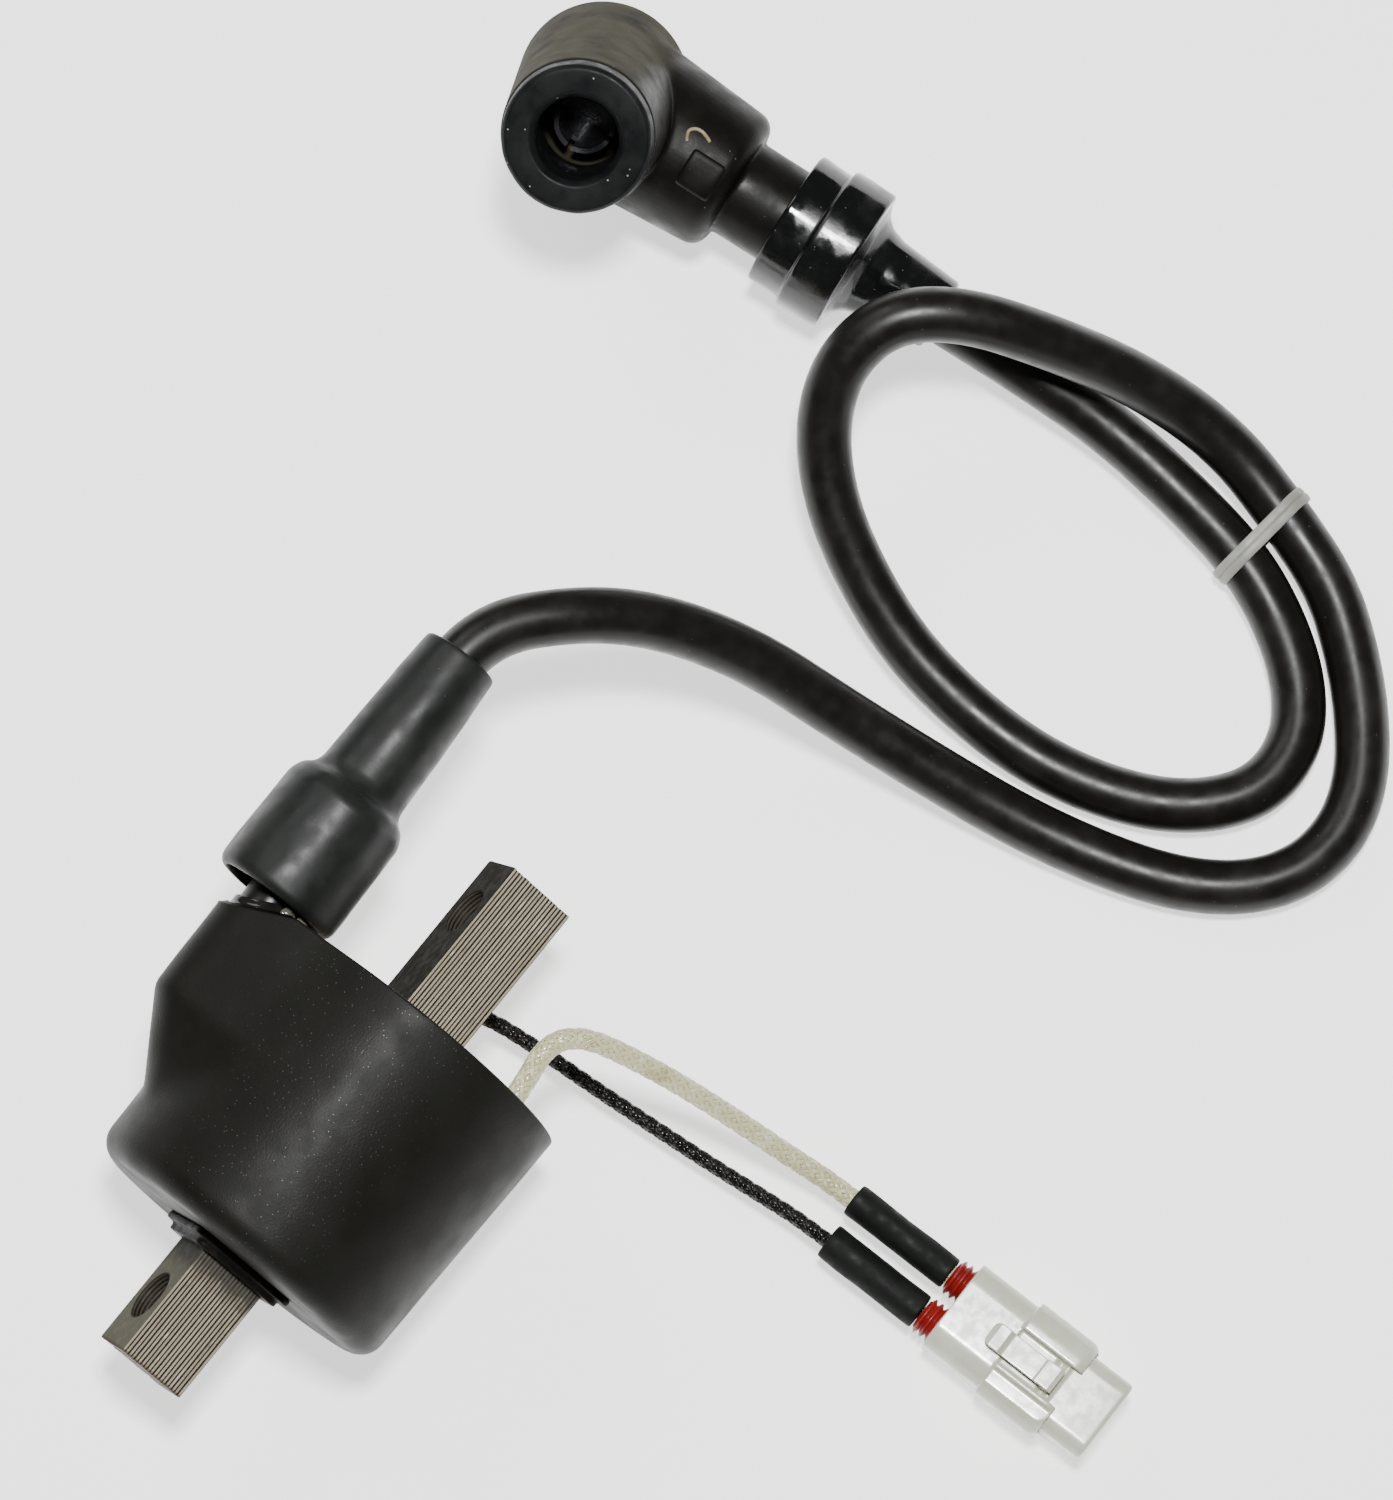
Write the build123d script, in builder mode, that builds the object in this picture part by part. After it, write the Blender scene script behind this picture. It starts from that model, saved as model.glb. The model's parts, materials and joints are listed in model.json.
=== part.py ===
"""Ignition coil of a small engine, with its high-tension lead, plug cap, primary leads and connector.

Frame, in millimetres: +X runs along the iron core towards the open, potted end of the case, +Y is
level and points to the side where the high-tension lead leaves, and +Z is up. The coil lies on
z = 0 on the side of its case, and the origin is under the centre of the coil body.
"""

import os
from math import cos, pi, radians, sin, tan

from build123d import *

os.makedirs("parts", exist_ok=True)

# ---------------------------------------------------------------- driving dimensions
# iron core
core_len = 75.0
core_side = 9.5
sheet_count = 19
sheet_gap = 0.03
sheet_step = 0.05
core_roll = 27.5
bolt_spacing = 60.0
bolt_r = 3.25

# case
rim_r = 21.7
back_r = 20.9
rim_x = 14.8
back_x = -20.25
case_wall = 2.1
floor_wall = 2.2
case_round = 3.0
potting_drop = 0.8

# boss on the case, where the high-tension lead leaves
tower_r = 24.35
tower_slope = 0.031
boss_r = 5.1
boss_low_x = -1.1
boss_end_x = -14.0
boss_cut_from = 23.0
boss_cut_slope = 0.55
socket_r = 4.1
socket_x = 2.0

# seal round the core where it leaves the closed end
seal_side = 15.0
seal_step_side = 13.0
seal_neck = 12.0
seal_out = 1.8

# bobbins and windings
bobbin_low = -17.3
bobbin_top = 8.0
tube_side = 11.7
primary_side = 16.0
primary_flange = 17.4
secondary_in_r = 11.6
secondary_tube_r = 12.6
secondary_wire_r = 17.2
secondary_fin_r = 17.6
section_count = 5
fin = 1.0

# boot over the high-tension lead
boot_x = 15.4
boot_len = 37.6
collar_len = 16.4
collar_r = 8.3
collar_bore_r = 7.0
collar_deep = 14.5
sleeve_r = 6.0
boot_tip_r = 5.0
boot_gap = 0.3

# plug cap: elbow centre, direction of the arm (towards the lead) and of the mouth
elbow = Vector(124.5, 56.3, 15.6)
arm_dir = Vector(0.110, -0.988, -0.107).normalized()
mouth_dir = Vector(-0.453, -0.254, 0.855).normalized()
barrel_back = 11.0
barrel_back_r = 11.2
barrel_round = 3.5
barrel_front = 25.0
barrel_front_r = 9.7
mouth_len = 27.5
mouth_r = 9.35
mouth_bore_r = 5.2
arm_len = 21.2
arm_root_r = 11.0
arm_end_r = 9.6
arm_round = 2.4
neck_r = 6.5
neck_len = 37.5
seal_near = 28.4
ring_small_r = 9.1
ring_large_at = 33.1
ring_large_r = 9.9
ring_large_end = 39.3
nozzle_at = 43.1
nozzle_root_r = 5.4
nozzle_tip_r = 4.75
nozzle_len = 52.0
twist_gap = 0.06
lead_end_at = 24.5
screw_r = 1.3
screw_len = 6.0

# connector, which points along -Y
conn_x = 31.0
conn_z = 5.8
conn_back_y = -73.9
wire_pitch = 6.0
back_len = 8.6
shroud_end = 18.0
nose_len = 23.6
back_w = 12.5
back_h = 9.4
shroud_w = 13.9
shroud_h = 11.0
nose_w = 11.2
nose_h = 8.4

# inside of the plug cap
terminal_r = 3.4
cup_r = 3.9
cup_wall = 0.6
terminal_flat = 0.6
cup_len = 8.5
terminal_top = 8.0
throat_r = 5.9
sleeve_deep = 16.9
sleeve_out_r = 6.6
resistor_r = 2.6
resistor_end = 16.1
spring_end = 21.0
head_thick = 1.0
cap_wall = 2.3
lead_bore_gap = 0.3

# shrink tubes, seals and contacts on the primary leads
shrink_from_white = -17.8
shrink_from_black = -17.1
shrink_to = -2.7
shrink_white_r = 2.17
shrink_black_r = 2.35
shrink_gap = 0.15
seal_from = -2.5
seal_len = 6.6
seal_rib_r = 2.5
contact_from = 4.3
contact_side = 2.4
contact_end = 19.5
cavity_end = 20.0

# latch on the connector
latch_mid = -0.3
latch_w = 3.2
latch_pivot = 15.0
latch_foot_r = 0.7

# leads
ht_d = 7.0
white_d = 2.6
black_d = 1.9
splice_len = 2.0
fit_gap = 0.02

# derived places
roll_cos = cos(radians(core_roll))
roll_sin = sin(radians(core_roll))
case_shift = ((tower_r * roll_cos + boss_r) - rim_r) / 2
core_y = -case_shift
core_z = rim_r

# local x is the bolt direction, local y the height across the sheet edges, local z the core's axis
core_plane = Plane(origin=(0, core_y, core_z), x_dir=(0, roll_cos, roll_sin), z_dir=(1, 0, 0))


def across(x):
    """The core's cross plane at a place along the core."""
    return core_plane.offset(x)


def tower_at(x):
    """Distance from the core's axis to the high-tension lead's axis."""
    return tower_r + tower_slope * (x - rim_x)


def on_tower(x):
    """Point on the high-tension lead's axis, in the part's frame."""
    reach = tower_at(x)
    return Vector(x, core_y + reach * roll_cos, core_z + reach * roll_sin)


tower_dir = (on_tower(1) - on_tower(0)).normalized()


def tower_plane(x):
    """Plane across the high-tension lead's axis, with local z along it and away from the case."""
    return Plane(origin=on_tower(x), x_dir=(0, 0, 1), z_dir=tower_dir)


def cord_path(points):
    """Straight runs joined by arcs, each as large as its two runs allow."""
    route = [Vector(*p) for p in points]
    radii = []
    for before, here, after in zip(route, route[1:], route[2:]):
        run_in = here - before
        run_out = after - here
        half_turn = radians(run_in.get_angle(run_out)) / 2
        radii.append(0.45 * min(run_in.length, run_out.length) / tan(half_turn))
    return FilletPolyline(*route, radius=radii), radii


def report_cord(name, path, radii, part, diameter):
    """Print a cord's length, its tightest arc, and its volume against section times length."""
    section = pi * diameter**2 / 4
    length = path.length
    print(f"{name}: length {length:.1f} mm, volume ratio {part.volume / (section * length):.4f}")
    print(f"  radii {[round(r, 1) for r in radii]}, lowest {part.bounding_box().min.Z:.2f}")


# ---------------------------------------------------------------- iron core
sheet_pitch = core_side / sheet_count
with BuildPart() as core_laminations:
    for i in range(sheet_count):
        low = -core_side / 2 + i * sheet_pitch
        sheet_plane = Plane(
            origin=core_plane.from_local_coords((low + sheet_gap / 2, 0, 0)),
            x_dir=core_plane.z_dir,
            z_dir=core_plane.x_dir,
        )
        width = core_side - sheet_step * (i % 2)
        with BuildSketch(sheet_plane):
            Rectangle(core_len - sheet_step * (i % 3), width)
            with GridLocations(bolt_spacing, 0, 2, 1):
                Circle(bolt_r, mode=Mode.SUBTRACT)
        extrude(amount=sheet_pitch - sheet_gap)
core_laminations.part.label = "core_laminations"
export_step(core_laminations.part, "parts/core_laminations.step")

# ---------------------------------------------------------------- case
boss_out = tower_r + 2 * boss_r
# beside the core, seen along its height: local x runs along the core and local y out to the boss
boss_side = Plane(origin=across(0).origin, x_dir=(1, 0, 0), z_dir=core_plane.y_dir)


def slope_above(top):
    """Outline of what lies above a surface that slopes down from a height where it goes out to the boss."""
    return Polygon(
        (top, boss_cut_from),
        (rim_x + 1, boss_cut_from),
        (rim_x + 1, boss_out),
        (top - boss_cut_slope * (boss_out - boss_cut_from), boss_out),
        align=None,
    )


with BuildPart() as coil_case:
    with BuildSketch(across(back_x)):
        Circle(back_r)
    with BuildSketch(across(rim_x)):
        Circle(rim_r)
    loft()
    fillet(coil_case.faces().sort_by(Axis.X)[0].edges(), case_round)
    # boss: two hulls of the case circle and a small circle, which sinks into the case lower down
    boss_levels = (
        (rim_x, rim_r - 0.9, tower_at(rim_x)),
        (boss_low_x, rim_r - 1.2, tower_at(boss_low_x)),
        (boss_end_x, rim_r - 1.8, rim_r - 1.7 - boss_r),
    )
    for two_levels in (boss_levels[:2], boss_levels[1:]):
        for level_x, hull_r, boss_reach in two_levels:
            with BuildSketch(across(level_x)):
                Circle(hull_r)
                with Locations((boss_reach, 0)):
                    Circle(boss_r)
                make_hull()
        loft(ruled=True)
    # the rim slopes down where it goes out over the boss
    with BuildSketch(boss_side):
        slope_above(rim_x)
    extrude(amount=rim_r, both=True, mode=Mode.SUBTRACT)
    # hollow
    with BuildSketch(across(back_x + floor_wall)):
        Circle(back_r - case_wall)
    with BuildSketch(across(rim_x)):
        Circle(rim_r - case_wall)
    loft(mode=Mode.SUBTRACT)
    with BuildSketch(across(socket_x)):
        Circle(rim_r - case_wall - 1.0)
        with Locations((tower_at(8), 0)):
            Circle(socket_r)
        make_hull()
    extrude(amount=rim_x - socket_x, mode=Mode.SUBTRACT)
    # square opening for the core's seal
    with BuildSketch(across(back_x)):
        RectangleRounded(seal_neck + 2 * fit_gap, seal_neck + 2 * fit_gap, 1.0)
    extrude(amount=floor_wall, mode=Mode.SUBTRACT)
coil_case.part.label = "coil_case"
export_step(coil_case.part, "parts/coil_case.step")

# ---------------------------------------------------------------- seal round the core
with BuildPart() as core_seal:
    with BuildSketch(across(back_x - seal_out)):
        RectangleRounded(seal_step_side, seal_step_side, 1.2)
    extrude(amount=seal_out / 2)
    with BuildSketch(across(back_x - seal_out / 2)):
        RectangleRounded(seal_side, seal_side, 1.6)
    extrude(amount=seal_out / 2)
    with BuildSketch(across(back_x)):
        RectangleRounded(seal_neck, seal_neck, 1.0)
    extrude(amount=floor_wall)
    with BuildSketch(across(back_x - seal_out)):
        Rectangle(core_side + 2 * fit_gap, core_side + 2 * fit_gap)
    extrude(amount=seal_out + floor_wall, mode=Mode.SUBTRACT)
core_seal.part.label = "core_seal"
export_step(core_seal.part, "parts/core_seal.step")

# ---------------------------------------------------------------- bobbins and windings
bobbin_len = bobbin_top - bobbin_low
with BuildPart() as primary_bobbin:
    with BuildSketch(across(bobbin_low)):
        RectangleRounded(tube_side, tube_side, 0.8)
    extrude(amount=bobbin_len)
    with BuildSketch(across(bobbin_low), across(bobbin_top - fin)):
        RectangleRounded(primary_flange, primary_flange, 3.2)
    extrude(amount=fin)
    with BuildSketch(across(bobbin_low)):
        Rectangle(core_side + 0.1, core_side + 0.1)
    extrude(amount=bobbin_len, mode=Mode.SUBTRACT)
primary_bobbin.part.label = "primary_bobbin"
export_step(primary_bobbin.part, "parts/primary_bobbin.step")

with BuildPart() as primary_winding:
    with BuildSketch(across(bobbin_low + fin)):
        RectangleRounded(primary_side, primary_side, 2.6)
        Rectangle(tube_side, tube_side, mode=Mode.SUBTRACT)
    extrude(amount=bobbin_len - 2 * fin)
primary_winding.part.label = "primary_winding"
export_step(primary_winding.part, "parts/primary_winding.step")

section_pitch = (bobbin_len - fin) / section_count
fin_places = [bobbin_low + i * section_pitch for i in range(section_count + 1)]
with BuildPart() as secondary_bobbin:
    with BuildSketch(across(bobbin_low)):
        Circle(secondary_tube_r)
    extrude(amount=bobbin_len)
    with BuildSketch(*[across(x) for x in fin_places]):
        Circle(secondary_fin_r)
    extrude(amount=fin)
    with BuildSketch(across(bobbin_low)):
        Circle(secondary_in_r)
    extrude(amount=bobbin_len, mode=Mode.SUBTRACT)
secondary_bobbin.part.label = "secondary_bobbin"
export_step(secondary_bobbin.part, "parts/secondary_bobbin.step")

with BuildPart() as secondary_winding:
    for x in fin_places[:-1]:
        with BuildSketch(across(x + fin)):
            Circle(secondary_wire_r)
            Circle(secondary_tube_r, mode=Mode.SUBTRACT)
        extrude(amount=section_pitch - fin)
secondary_winding.part.label = "secondary_winding"
export_step(secondary_winding.part, "parts/secondary_winding.step")

# ---------------------------------------------------------------- high-tension terminal
lead_start_x = 4.0
disc_thick = 0.8
spike_r = 0.7
spike_len = 5.0
with BuildPart() as ht_terminal:
    with BuildSketch(tower_plane(lead_start_x - disc_thick)):
        Circle(2.8)
    extrude(amount=disc_thick)
    # the spike starts inside the disc
    with BuildSketch(tower_plane(lead_start_x - disc_thick / 2)):
        Circle(spike_r)
    extrude(amount=spike_len + disc_thick / 2)
    # strap from the disc to the winding
    strap_in = secondary_wire_r + fit_gap
    strap_out = tower_at(lead_start_x) - 1.5
    with BuildSketch(across(lead_start_x - 0.7)):
        with Locations(((strap_in + strap_out) / 2, 0)):
            Rectangle(strap_out - strap_in, 2.0)
    extrude(amount=0.5)
ht_terminal.part.label = "ht_terminal"
export_step(ht_terminal.part, "parts/ht_terminal.step")

# ---------------------------------------------------------------- high-tension lead
def on_arm(distance):
    """Point on the plug cap arm's axis."""
    return elbow + arm_dir * distance


# from the case, in an S-bend to the floor, round one loop over the cap's nozzle, and into the cap
ht_route = [
    on_tower(lead_start_x),
    on_tower(57.5),
    (67.0, 12.4, 31.3),
    (73.3, 4.7, 26.4),
    (78.0, -5.6, 19.6),
    (80.3, -17.0, 12.8),
    (82.5, -29.2, 8.0),
    (85.2, -44.5, 4.3),
    (89.2, -59.2, 3.7),
    (94.2, -68.6, 3.6),
    (100.9, -74.3, 3.6),
    (108.5, -75.8, 3.6),
    (115.5, -73.9, 3.6),
    (121.9, -69.6, 3.6),
    (128.2, -63.4, 3.8),
    (134.1, -55.5, 4.3),
    (137.6, -45.6, 4.8),
    (140.4, -33.4, 7.4),
    (138.0, -20.7, 14.0),
    (132.8, -9.4, 21.0),
    (127.8, 0.4, 25.4),
    (121.9, 7.2, 25.6),
    (114.2, 9.2, 22.4),
    (107.2, 6.6, 17.4),
    (101.2, 0.2, 12.8),
    (96.9, -8.3, 8.9),
    (93.5, -18.6, 5.8),
    (92.3, -30.9, 4.2),
    (93.0, -42.0, 3.8),
    (96.2, -52.4, 3.6),
    (100.8, -59.7, 3.6),
    (107.4, -64.5, 3.6),
    (115.2, -64.2, 3.6),
    (121.4, -59.9, 3.7),
    (126.3, -53.1, 4.1),
    (130.0, -44.6, 4.6),
    (132.0, -32.7, 4.9),
    (133.0, -20.5, 5.8),
    on_arm(65.4),
    on_arm(lead_end_at),
]
ht_path, ht_radii = cord_path(ht_route)
with BuildPart() as ht_lead:
    with BuildLine():
        add(ht_path)
    with BuildSketch(tower_plane(lead_start_x)):
        Circle(ht_d / 2)
    sweep()
    report_cord("ht_lead", ht_path, ht_radii, ht_lead.part, ht_d)
    # the cap's pointed screw has bored into the lead's end
    with BuildSketch(Plane(origin=on_arm(lead_end_at), z_dir=arm_dir)):
        Circle(screw_r + twist_gap)
    extrude(amount=screw_len + fit_gap, mode=Mode.SUBTRACT)
ht_lead.part.label = "ht_lead"
export_step(ht_lead.part, "parts/ht_lead.step")

# ---------------------------------------------------------------- primary leads
def start_plane(route):
    """Plane across a lead at its first point, with local z along the lead."""
    return Plane(origin=route[0], z_dir=Vector(*route[1]) - Vector(*route[0]))


leads_end_y = -79.0
white_x = conn_x + wire_pitch / 2
white_route = [
    (10.5, -18.6, 28.4),
    (17.0, -18.2, 29.1),
    (22.6, -17.3, 29.5),
    (26.2, -19.8, 28.4),
    (28.3, -25.5, 24.5),
    (30.4, -32.5, 18.0),
    (31.9, -40.0, 12.5),
    (33.0, -47.5, 8.5),
    (white_x, -54.0, conn_z),
    (white_x, leads_end_y, conn_z),
]
white_path, white_radii = cord_path(white_route)
with BuildPart() as primary_lead_white:
    with BuildLine():
        add(white_path)
    with BuildSketch(start_plane(white_route)):
        Circle(white_d / 2)
    sweep()
    report_cord("primary_lead_white", white_path, white_radii, primary_lead_white.part, white_d)
primary_lead_white.part.label = "primary_lead_white"
export_step(primary_lead_white.part, "parts/primary_lead_white.step")

black_x = conn_x - wire_pitch / 2
black_route = [
    (10.5, 4.2, 9.2),
    (15.5, 4.0, 9.2),
    (20.5, 0.5, 8.8),
    (23.4, -6.0, 8.0),
    (24.4, -14.0, 7.0),
    (25.0, -22.5, 6.0),
    (25.8, -31.0, 5.2),
    (26.5, -39.0, 5.0),
    (27.3, -47.0, 5.4),
    (black_x, -54.5, conn_z),
    (black_x, leads_end_y, conn_z),
]
black_path, black_radii = cord_path(black_route)
with BuildPart() as primary_lead_black:
    with BuildLine():
        add(black_path)
    with BuildSketch(start_plane(black_route)):
        Circle(black_d / 2)
    sweep()
    report_cord("primary_lead_black", black_path, black_radii, primary_lead_black.part, black_d)
primary_lead_black.part.label = "primary_lead_black"
export_step(primary_lead_black.part, "parts/primary_lead_black.step")

# crimps that join the leads to the primary winding, inside the potting
with BuildPart() as lead_splices:
    for route, diameter in ((white_route, white_d), (black_route, black_d)):
        with BuildSketch(start_plane(route)):
            Circle(diameter / 2 + 0.4)
        extrude(amount=-splice_len)
lead_splices.part.label = "lead_splices"
export_step(lead_splices.part, "parts/lead_splices.step")

# ---------------------------------------------------------------- potting
potting_top = rim_x - potting_drop
bobbin_room = 0.25
with BuildPart() as potting_compound:
    with BuildSketch(across(back_x + floor_wall)):
        Circle(back_r - case_wall - fit_gap)
    with BuildSketch(across(potting_top)):
        Circle(rim_r - case_wall - 2 * fit_gap)
    loft()
    with BuildSketch(across(socket_x + fit_gap)):
        Circle(rim_r - case_wall - 1.0 - fit_gap)
        with Locations((tower_at(8), 0)):
            Circle(socket_r - fit_gap)
        make_hull()
    extrude(amount=potting_top - socket_x - fit_gap)
    with BuildSketch(boss_side):
        slope_above(potting_top)
    extrude(amount=rim_r, both=True, mode=Mode.SUBTRACT)
    # room for the bobbins, and for the core that passes through
    with BuildSketch(across(back_x + floor_wall)):
        Circle(secondary_fin_r + bobbin_room)
    extrude(amount=bobbin_top + bobbin_room - back_x - floor_wall, mode=Mode.SUBTRACT)
    with BuildSketch(across(bobbin_top)):
        Rectangle(core_side + 2 * fit_gap, core_side + 2 * fit_gap)
    extrude(amount=rim_x - bobbin_top, mode=Mode.SUBTRACT)
    for set_in in (ht_lead, ht_terminal, primary_lead_white, primary_lead_black, lead_splices):
        add(set_in.part, mode=Mode.SUBTRACT)
potting_compound.part.label = "potting_compound"
export_step(potting_compound.part, "parts/potting_compound.step")


# ---------------------------------------------------------------- boot over the lead
def along(origin, direction):
    """Plane through an axis: local x runs along it and local y is the distance from it."""
    return Plane(origin=origin, x_dir=direction, z_dir=direction.cross(Vector(0, 0, 1)))


with BuildPart() as tower_boot:
    with BuildSketch(along(on_tower(boot_x), tower_dir)):
        with BuildLine():
            Polyline(
                (0, collar_bore_r),
                (0.5, collar_r - 0.35),
                (1.1, collar_r),
                (collar_len - 2.2, collar_r - 0.1),
            )
            Spline(
                (collar_len - 2.2, collar_r - 0.1),
                (collar_len - 0.6, collar_r - 0.9),
                (collar_len, sleeve_r),
                tangents=((1, -0.02), (0, -1)),
            )
            Polyline(
                (collar_len, sleeve_r),
                (boot_len - 0.7, boot_tip_r),
                (boot_len, boot_tip_r - 0.5),
                (boot_len, ht_d / 2 + boot_gap),
                (collar_deep, ht_d / 2 + boot_gap),
                (collar_deep, collar_bore_r - 0.9),
                (collar_deep - 1.2, collar_bore_r),
                (0, collar_bore_r),
            )
        make_face()
    revolve(axis=Axis(on_tower(boot_x), tower_dir))
tower_boot.part.label = "tower_boot"
export_step(tower_boot.part, "parts/tower_boot.step")

# ---------------------------------------------------------------- tie round the loop's two strands
tie_outer = Vector(137.6, -45.0, 5.1)
tie_inner = Vector(129.8, -44.0, 4.6)
tie_w = 2.3
tie_thick = 0.4
tie_gap = 0.1
tie_along = Vector(0.26, 0.96, 0.09).normalized()
tie_span = (tie_outer - tie_inner).length
tie_plane = Plane(origin=(tie_outer + tie_inner) * 0.5, x_dir=tie_outer - tie_inner, z_dir=tie_along)
with BuildPart() as lead_tie:
    with BuildSketch(tie_plane.offset(-tie_w / 2)):
        SlotCenterToCenter(tie_span, ht_d + 2 * (tie_gap + tie_thick))
        SlotCenterToCenter(tie_span, ht_d + 2 * tie_gap, mode=Mode.SUBTRACT)
    extrude(amount=tie_w)
lead_tie.part.label = "lead_tie"
export_step(lead_tie.part, "parts/lead_tie.step")

# ---------------------------------------------------------------- plug cap
arm_plane = along(elbow, arm_dir)
arm_axis = Axis(elbow, arm_dir)
mouth_plane = along(elbow, mouth_dir)
mouth_axis = Axis(elbow, mouth_dir)
head_at = spring_end
wall_end = head_at + head_thick + cap_wall


def arm_across(distance):
    """Plane across the arm's axis, with local z along the arm."""
    return Plane(origin=on_arm(distance), z_dir=arm_dir)


def mouth_across(distance):
    """Plane across the mouth's axis, with local z out of the mouth."""
    return Plane(origin=elbow + mouth_dir * distance, z_dir=mouth_dir)


with BuildPart() as cap_body:
    with BuildSketch(mouth_plane):
        with BuildLine():
            Polyline((-barrel_back, 0), (-barrel_back, barrel_back_r - barrel_round))
            RadiusArc(
                (-barrel_back, barrel_back_r - barrel_round),
                (-barrel_back + barrel_round, barrel_back_r),
                barrel_round,
            )
            Polyline(
                (-barrel_back + barrel_round, barrel_back_r),
                (barrel_front, barrel_front_r),
                (barrel_front, 0),
                (-barrel_back, 0),
            )
        make_face()
    revolve(axis=mouth_axis)
    with BuildSketch(arm_plane):
        with BuildLine():
            Polyline((0, 0), (0, arm_root_r), (arm_len - arm_round, arm_end_r))
            RadiusArc(
                (arm_len - arm_round, arm_end_r),
                (arm_len, arm_end_r - arm_round),
                arm_round,
            )
            Polyline(
                (arm_len, arm_end_r - arm_round),
                (arm_len, neck_r),
                (neck_len, neck_r),
                (neck_len, 0),
                (0, 0),
            )
        make_face()
    revolve(axis=arm_axis)
    # way for the plug's top, wider where the mouth seal's sleeve goes in
    with BuildSketch(mouth_plane):
        Polygon(
            (-2 - fit_gap, 0),
            (-2 - fit_gap, terminal_r + fit_gap),
            (terminal_top, terminal_r + fit_gap),
            (terminal_top, throat_r),
            (sleeve_deep - fit_gap, throat_r),
            (sleeve_deep - fit_gap, sleeve_out_r + fit_gap),
            (barrel_front, sleeve_out_r + fit_gap),
            (barrel_front, 0),
            align=None,
        )
    revolve(axis=mouth_axis, mode=Mode.SUBTRACT)
    # way for the resistor, the spring, the screw and the lead
    with BuildSketch(arm_plane):
        Polygon(
            (0, 0),
            (0, resistor_r + fit_gap),
            (head_at + head_thick, resistor_r + fit_gap),
            (head_at + head_thick, screw_r + fit_gap),
            (wall_end, screw_r + fit_gap),
            (wall_end, ht_d / 2 + lead_bore_gap),
            (neck_len, ht_d / 2 + lead_bore_gap),
            (neck_len, 0),
            align=None,
        )
    revolve(axis=arm_axis, mode=Mode.SUBTRACT)
cap_body.part.label = "cap_body"
export_step(cap_body.part, "parts/cap_body.step")

with BuildPart() as cap_mouth_seal:
    with BuildSketch(mouth_plane):
        Polygon(
            (sleeve_deep, mouth_bore_r),
            (sleeve_deep, sleeve_out_r),
            (barrel_front, sleeve_out_r),
            (barrel_front, mouth_r - 0.2),
            (barrel_front + 0.4, mouth_r),
            (mouth_len - 0.5, mouth_r),
            (mouth_len, mouth_r - 0.5),
            (mouth_len, mouth_bore_r + 0.7),
            (mouth_len - 0.9, mouth_bore_r),
            align=None,
        )
    revolve(axis=mouth_axis)
cap_mouth_seal.part.label = "cap_mouth_seal"
export_step(cap_mouth_seal.part, "parts/cap_mouth_seal.step")

with BuildPart() as cap_terminal:
    with BuildSketch(mouth_plane):
        Polygon(
            (-2, 0),
            (-2, terminal_r),
            (terminal_top, terminal_r),
            (terminal_top, cup_r),
            (terminal_top + cup_len, cup_r),
            (terminal_top + cup_len, cup_r - cup_wall),
            (terminal_top + 1, cup_r - cup_wall),
            (terminal_top + 1, 0),
            align=None,
        )
    revolve(axis=mouth_axis)
    # slots that let the cup grip the plug's nut
    with BuildSketch(mouth_across(terminal_top + 3)):
        Rectangle(2 * cup_r + 1, 0.8)
        Rectangle(0.8, 2 * cup_r + 1)
    extrude(amount=cup_len, mode=Mode.SUBTRACT)
    # flat for the resistor's end
    with BuildSketch(arm_across(terminal_r - terminal_flat)):
        Circle(resistor_r + 0.1)
    extrude(amount=2, mode=Mode.SUBTRACT)
cap_terminal.part.label = "cap_terminal"
export_step(cap_terminal.part, "parts/cap_terminal.step")

with BuildPart() as cap_resistor:
    with BuildSketch(arm_across(terminal_r - terminal_flat + fit_gap)):
        Circle(resistor_r)
    extrude(amount=resistor_end - terminal_r + terminal_flat - fit_gap)
    chamfer(cap_resistor.edges(), 0.3)
cap_resistor.part.label = "cap_resistor"
export_step(cap_resistor.part, "parts/cap_resistor.step")

spring_wire_r = 0.35
spring_coil_r = 2.1
spring_turns = 4
spring_height = spring_end - resistor_end - 2 * spring_wire_r - 0.1
spring_start = resistor_end + spring_wire_r + 0.05
spring_line = Helix(
    pitch=spring_height / spring_turns,
    height=spring_height,
    radius=spring_coil_r,
    center=on_arm(spring_start),
    direction=arm_dir,
    mode=Mode.PRIVATE,
)
with BuildPart() as cap_spring:
    with BuildLine():
        add(spring_line)
    with BuildSketch(Plane(origin=spring_line @ 0, z_dir=spring_line % 0)):
        Circle(spring_wire_r)
    sweep(is_frenet=True)
cap_spring.part.label = "cap_spring"
export_step(cap_spring.part, "parts/cap_spring.step")

with BuildPart() as cap_lead_screw:
    with BuildSketch(arm_plane):
        Polygon(
            (head_at + fit_gap, 0),
            (head_at + fit_gap, resistor_r - 0.1),
            (head_at + head_thick, resistor_r - 0.1),
            (head_at + head_thick, screw_r),
            (lead_end_at + screw_len - 2.0, screw_r),
            (lead_end_at + screw_len, 0),
            align=None,
        )
    revolve(axis=arm_axis)
cap_lead_screw.part.label = "cap_lead_screw"
export_step(cap_lead_screw.part, "parts/cap_lead_screw.step")

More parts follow.
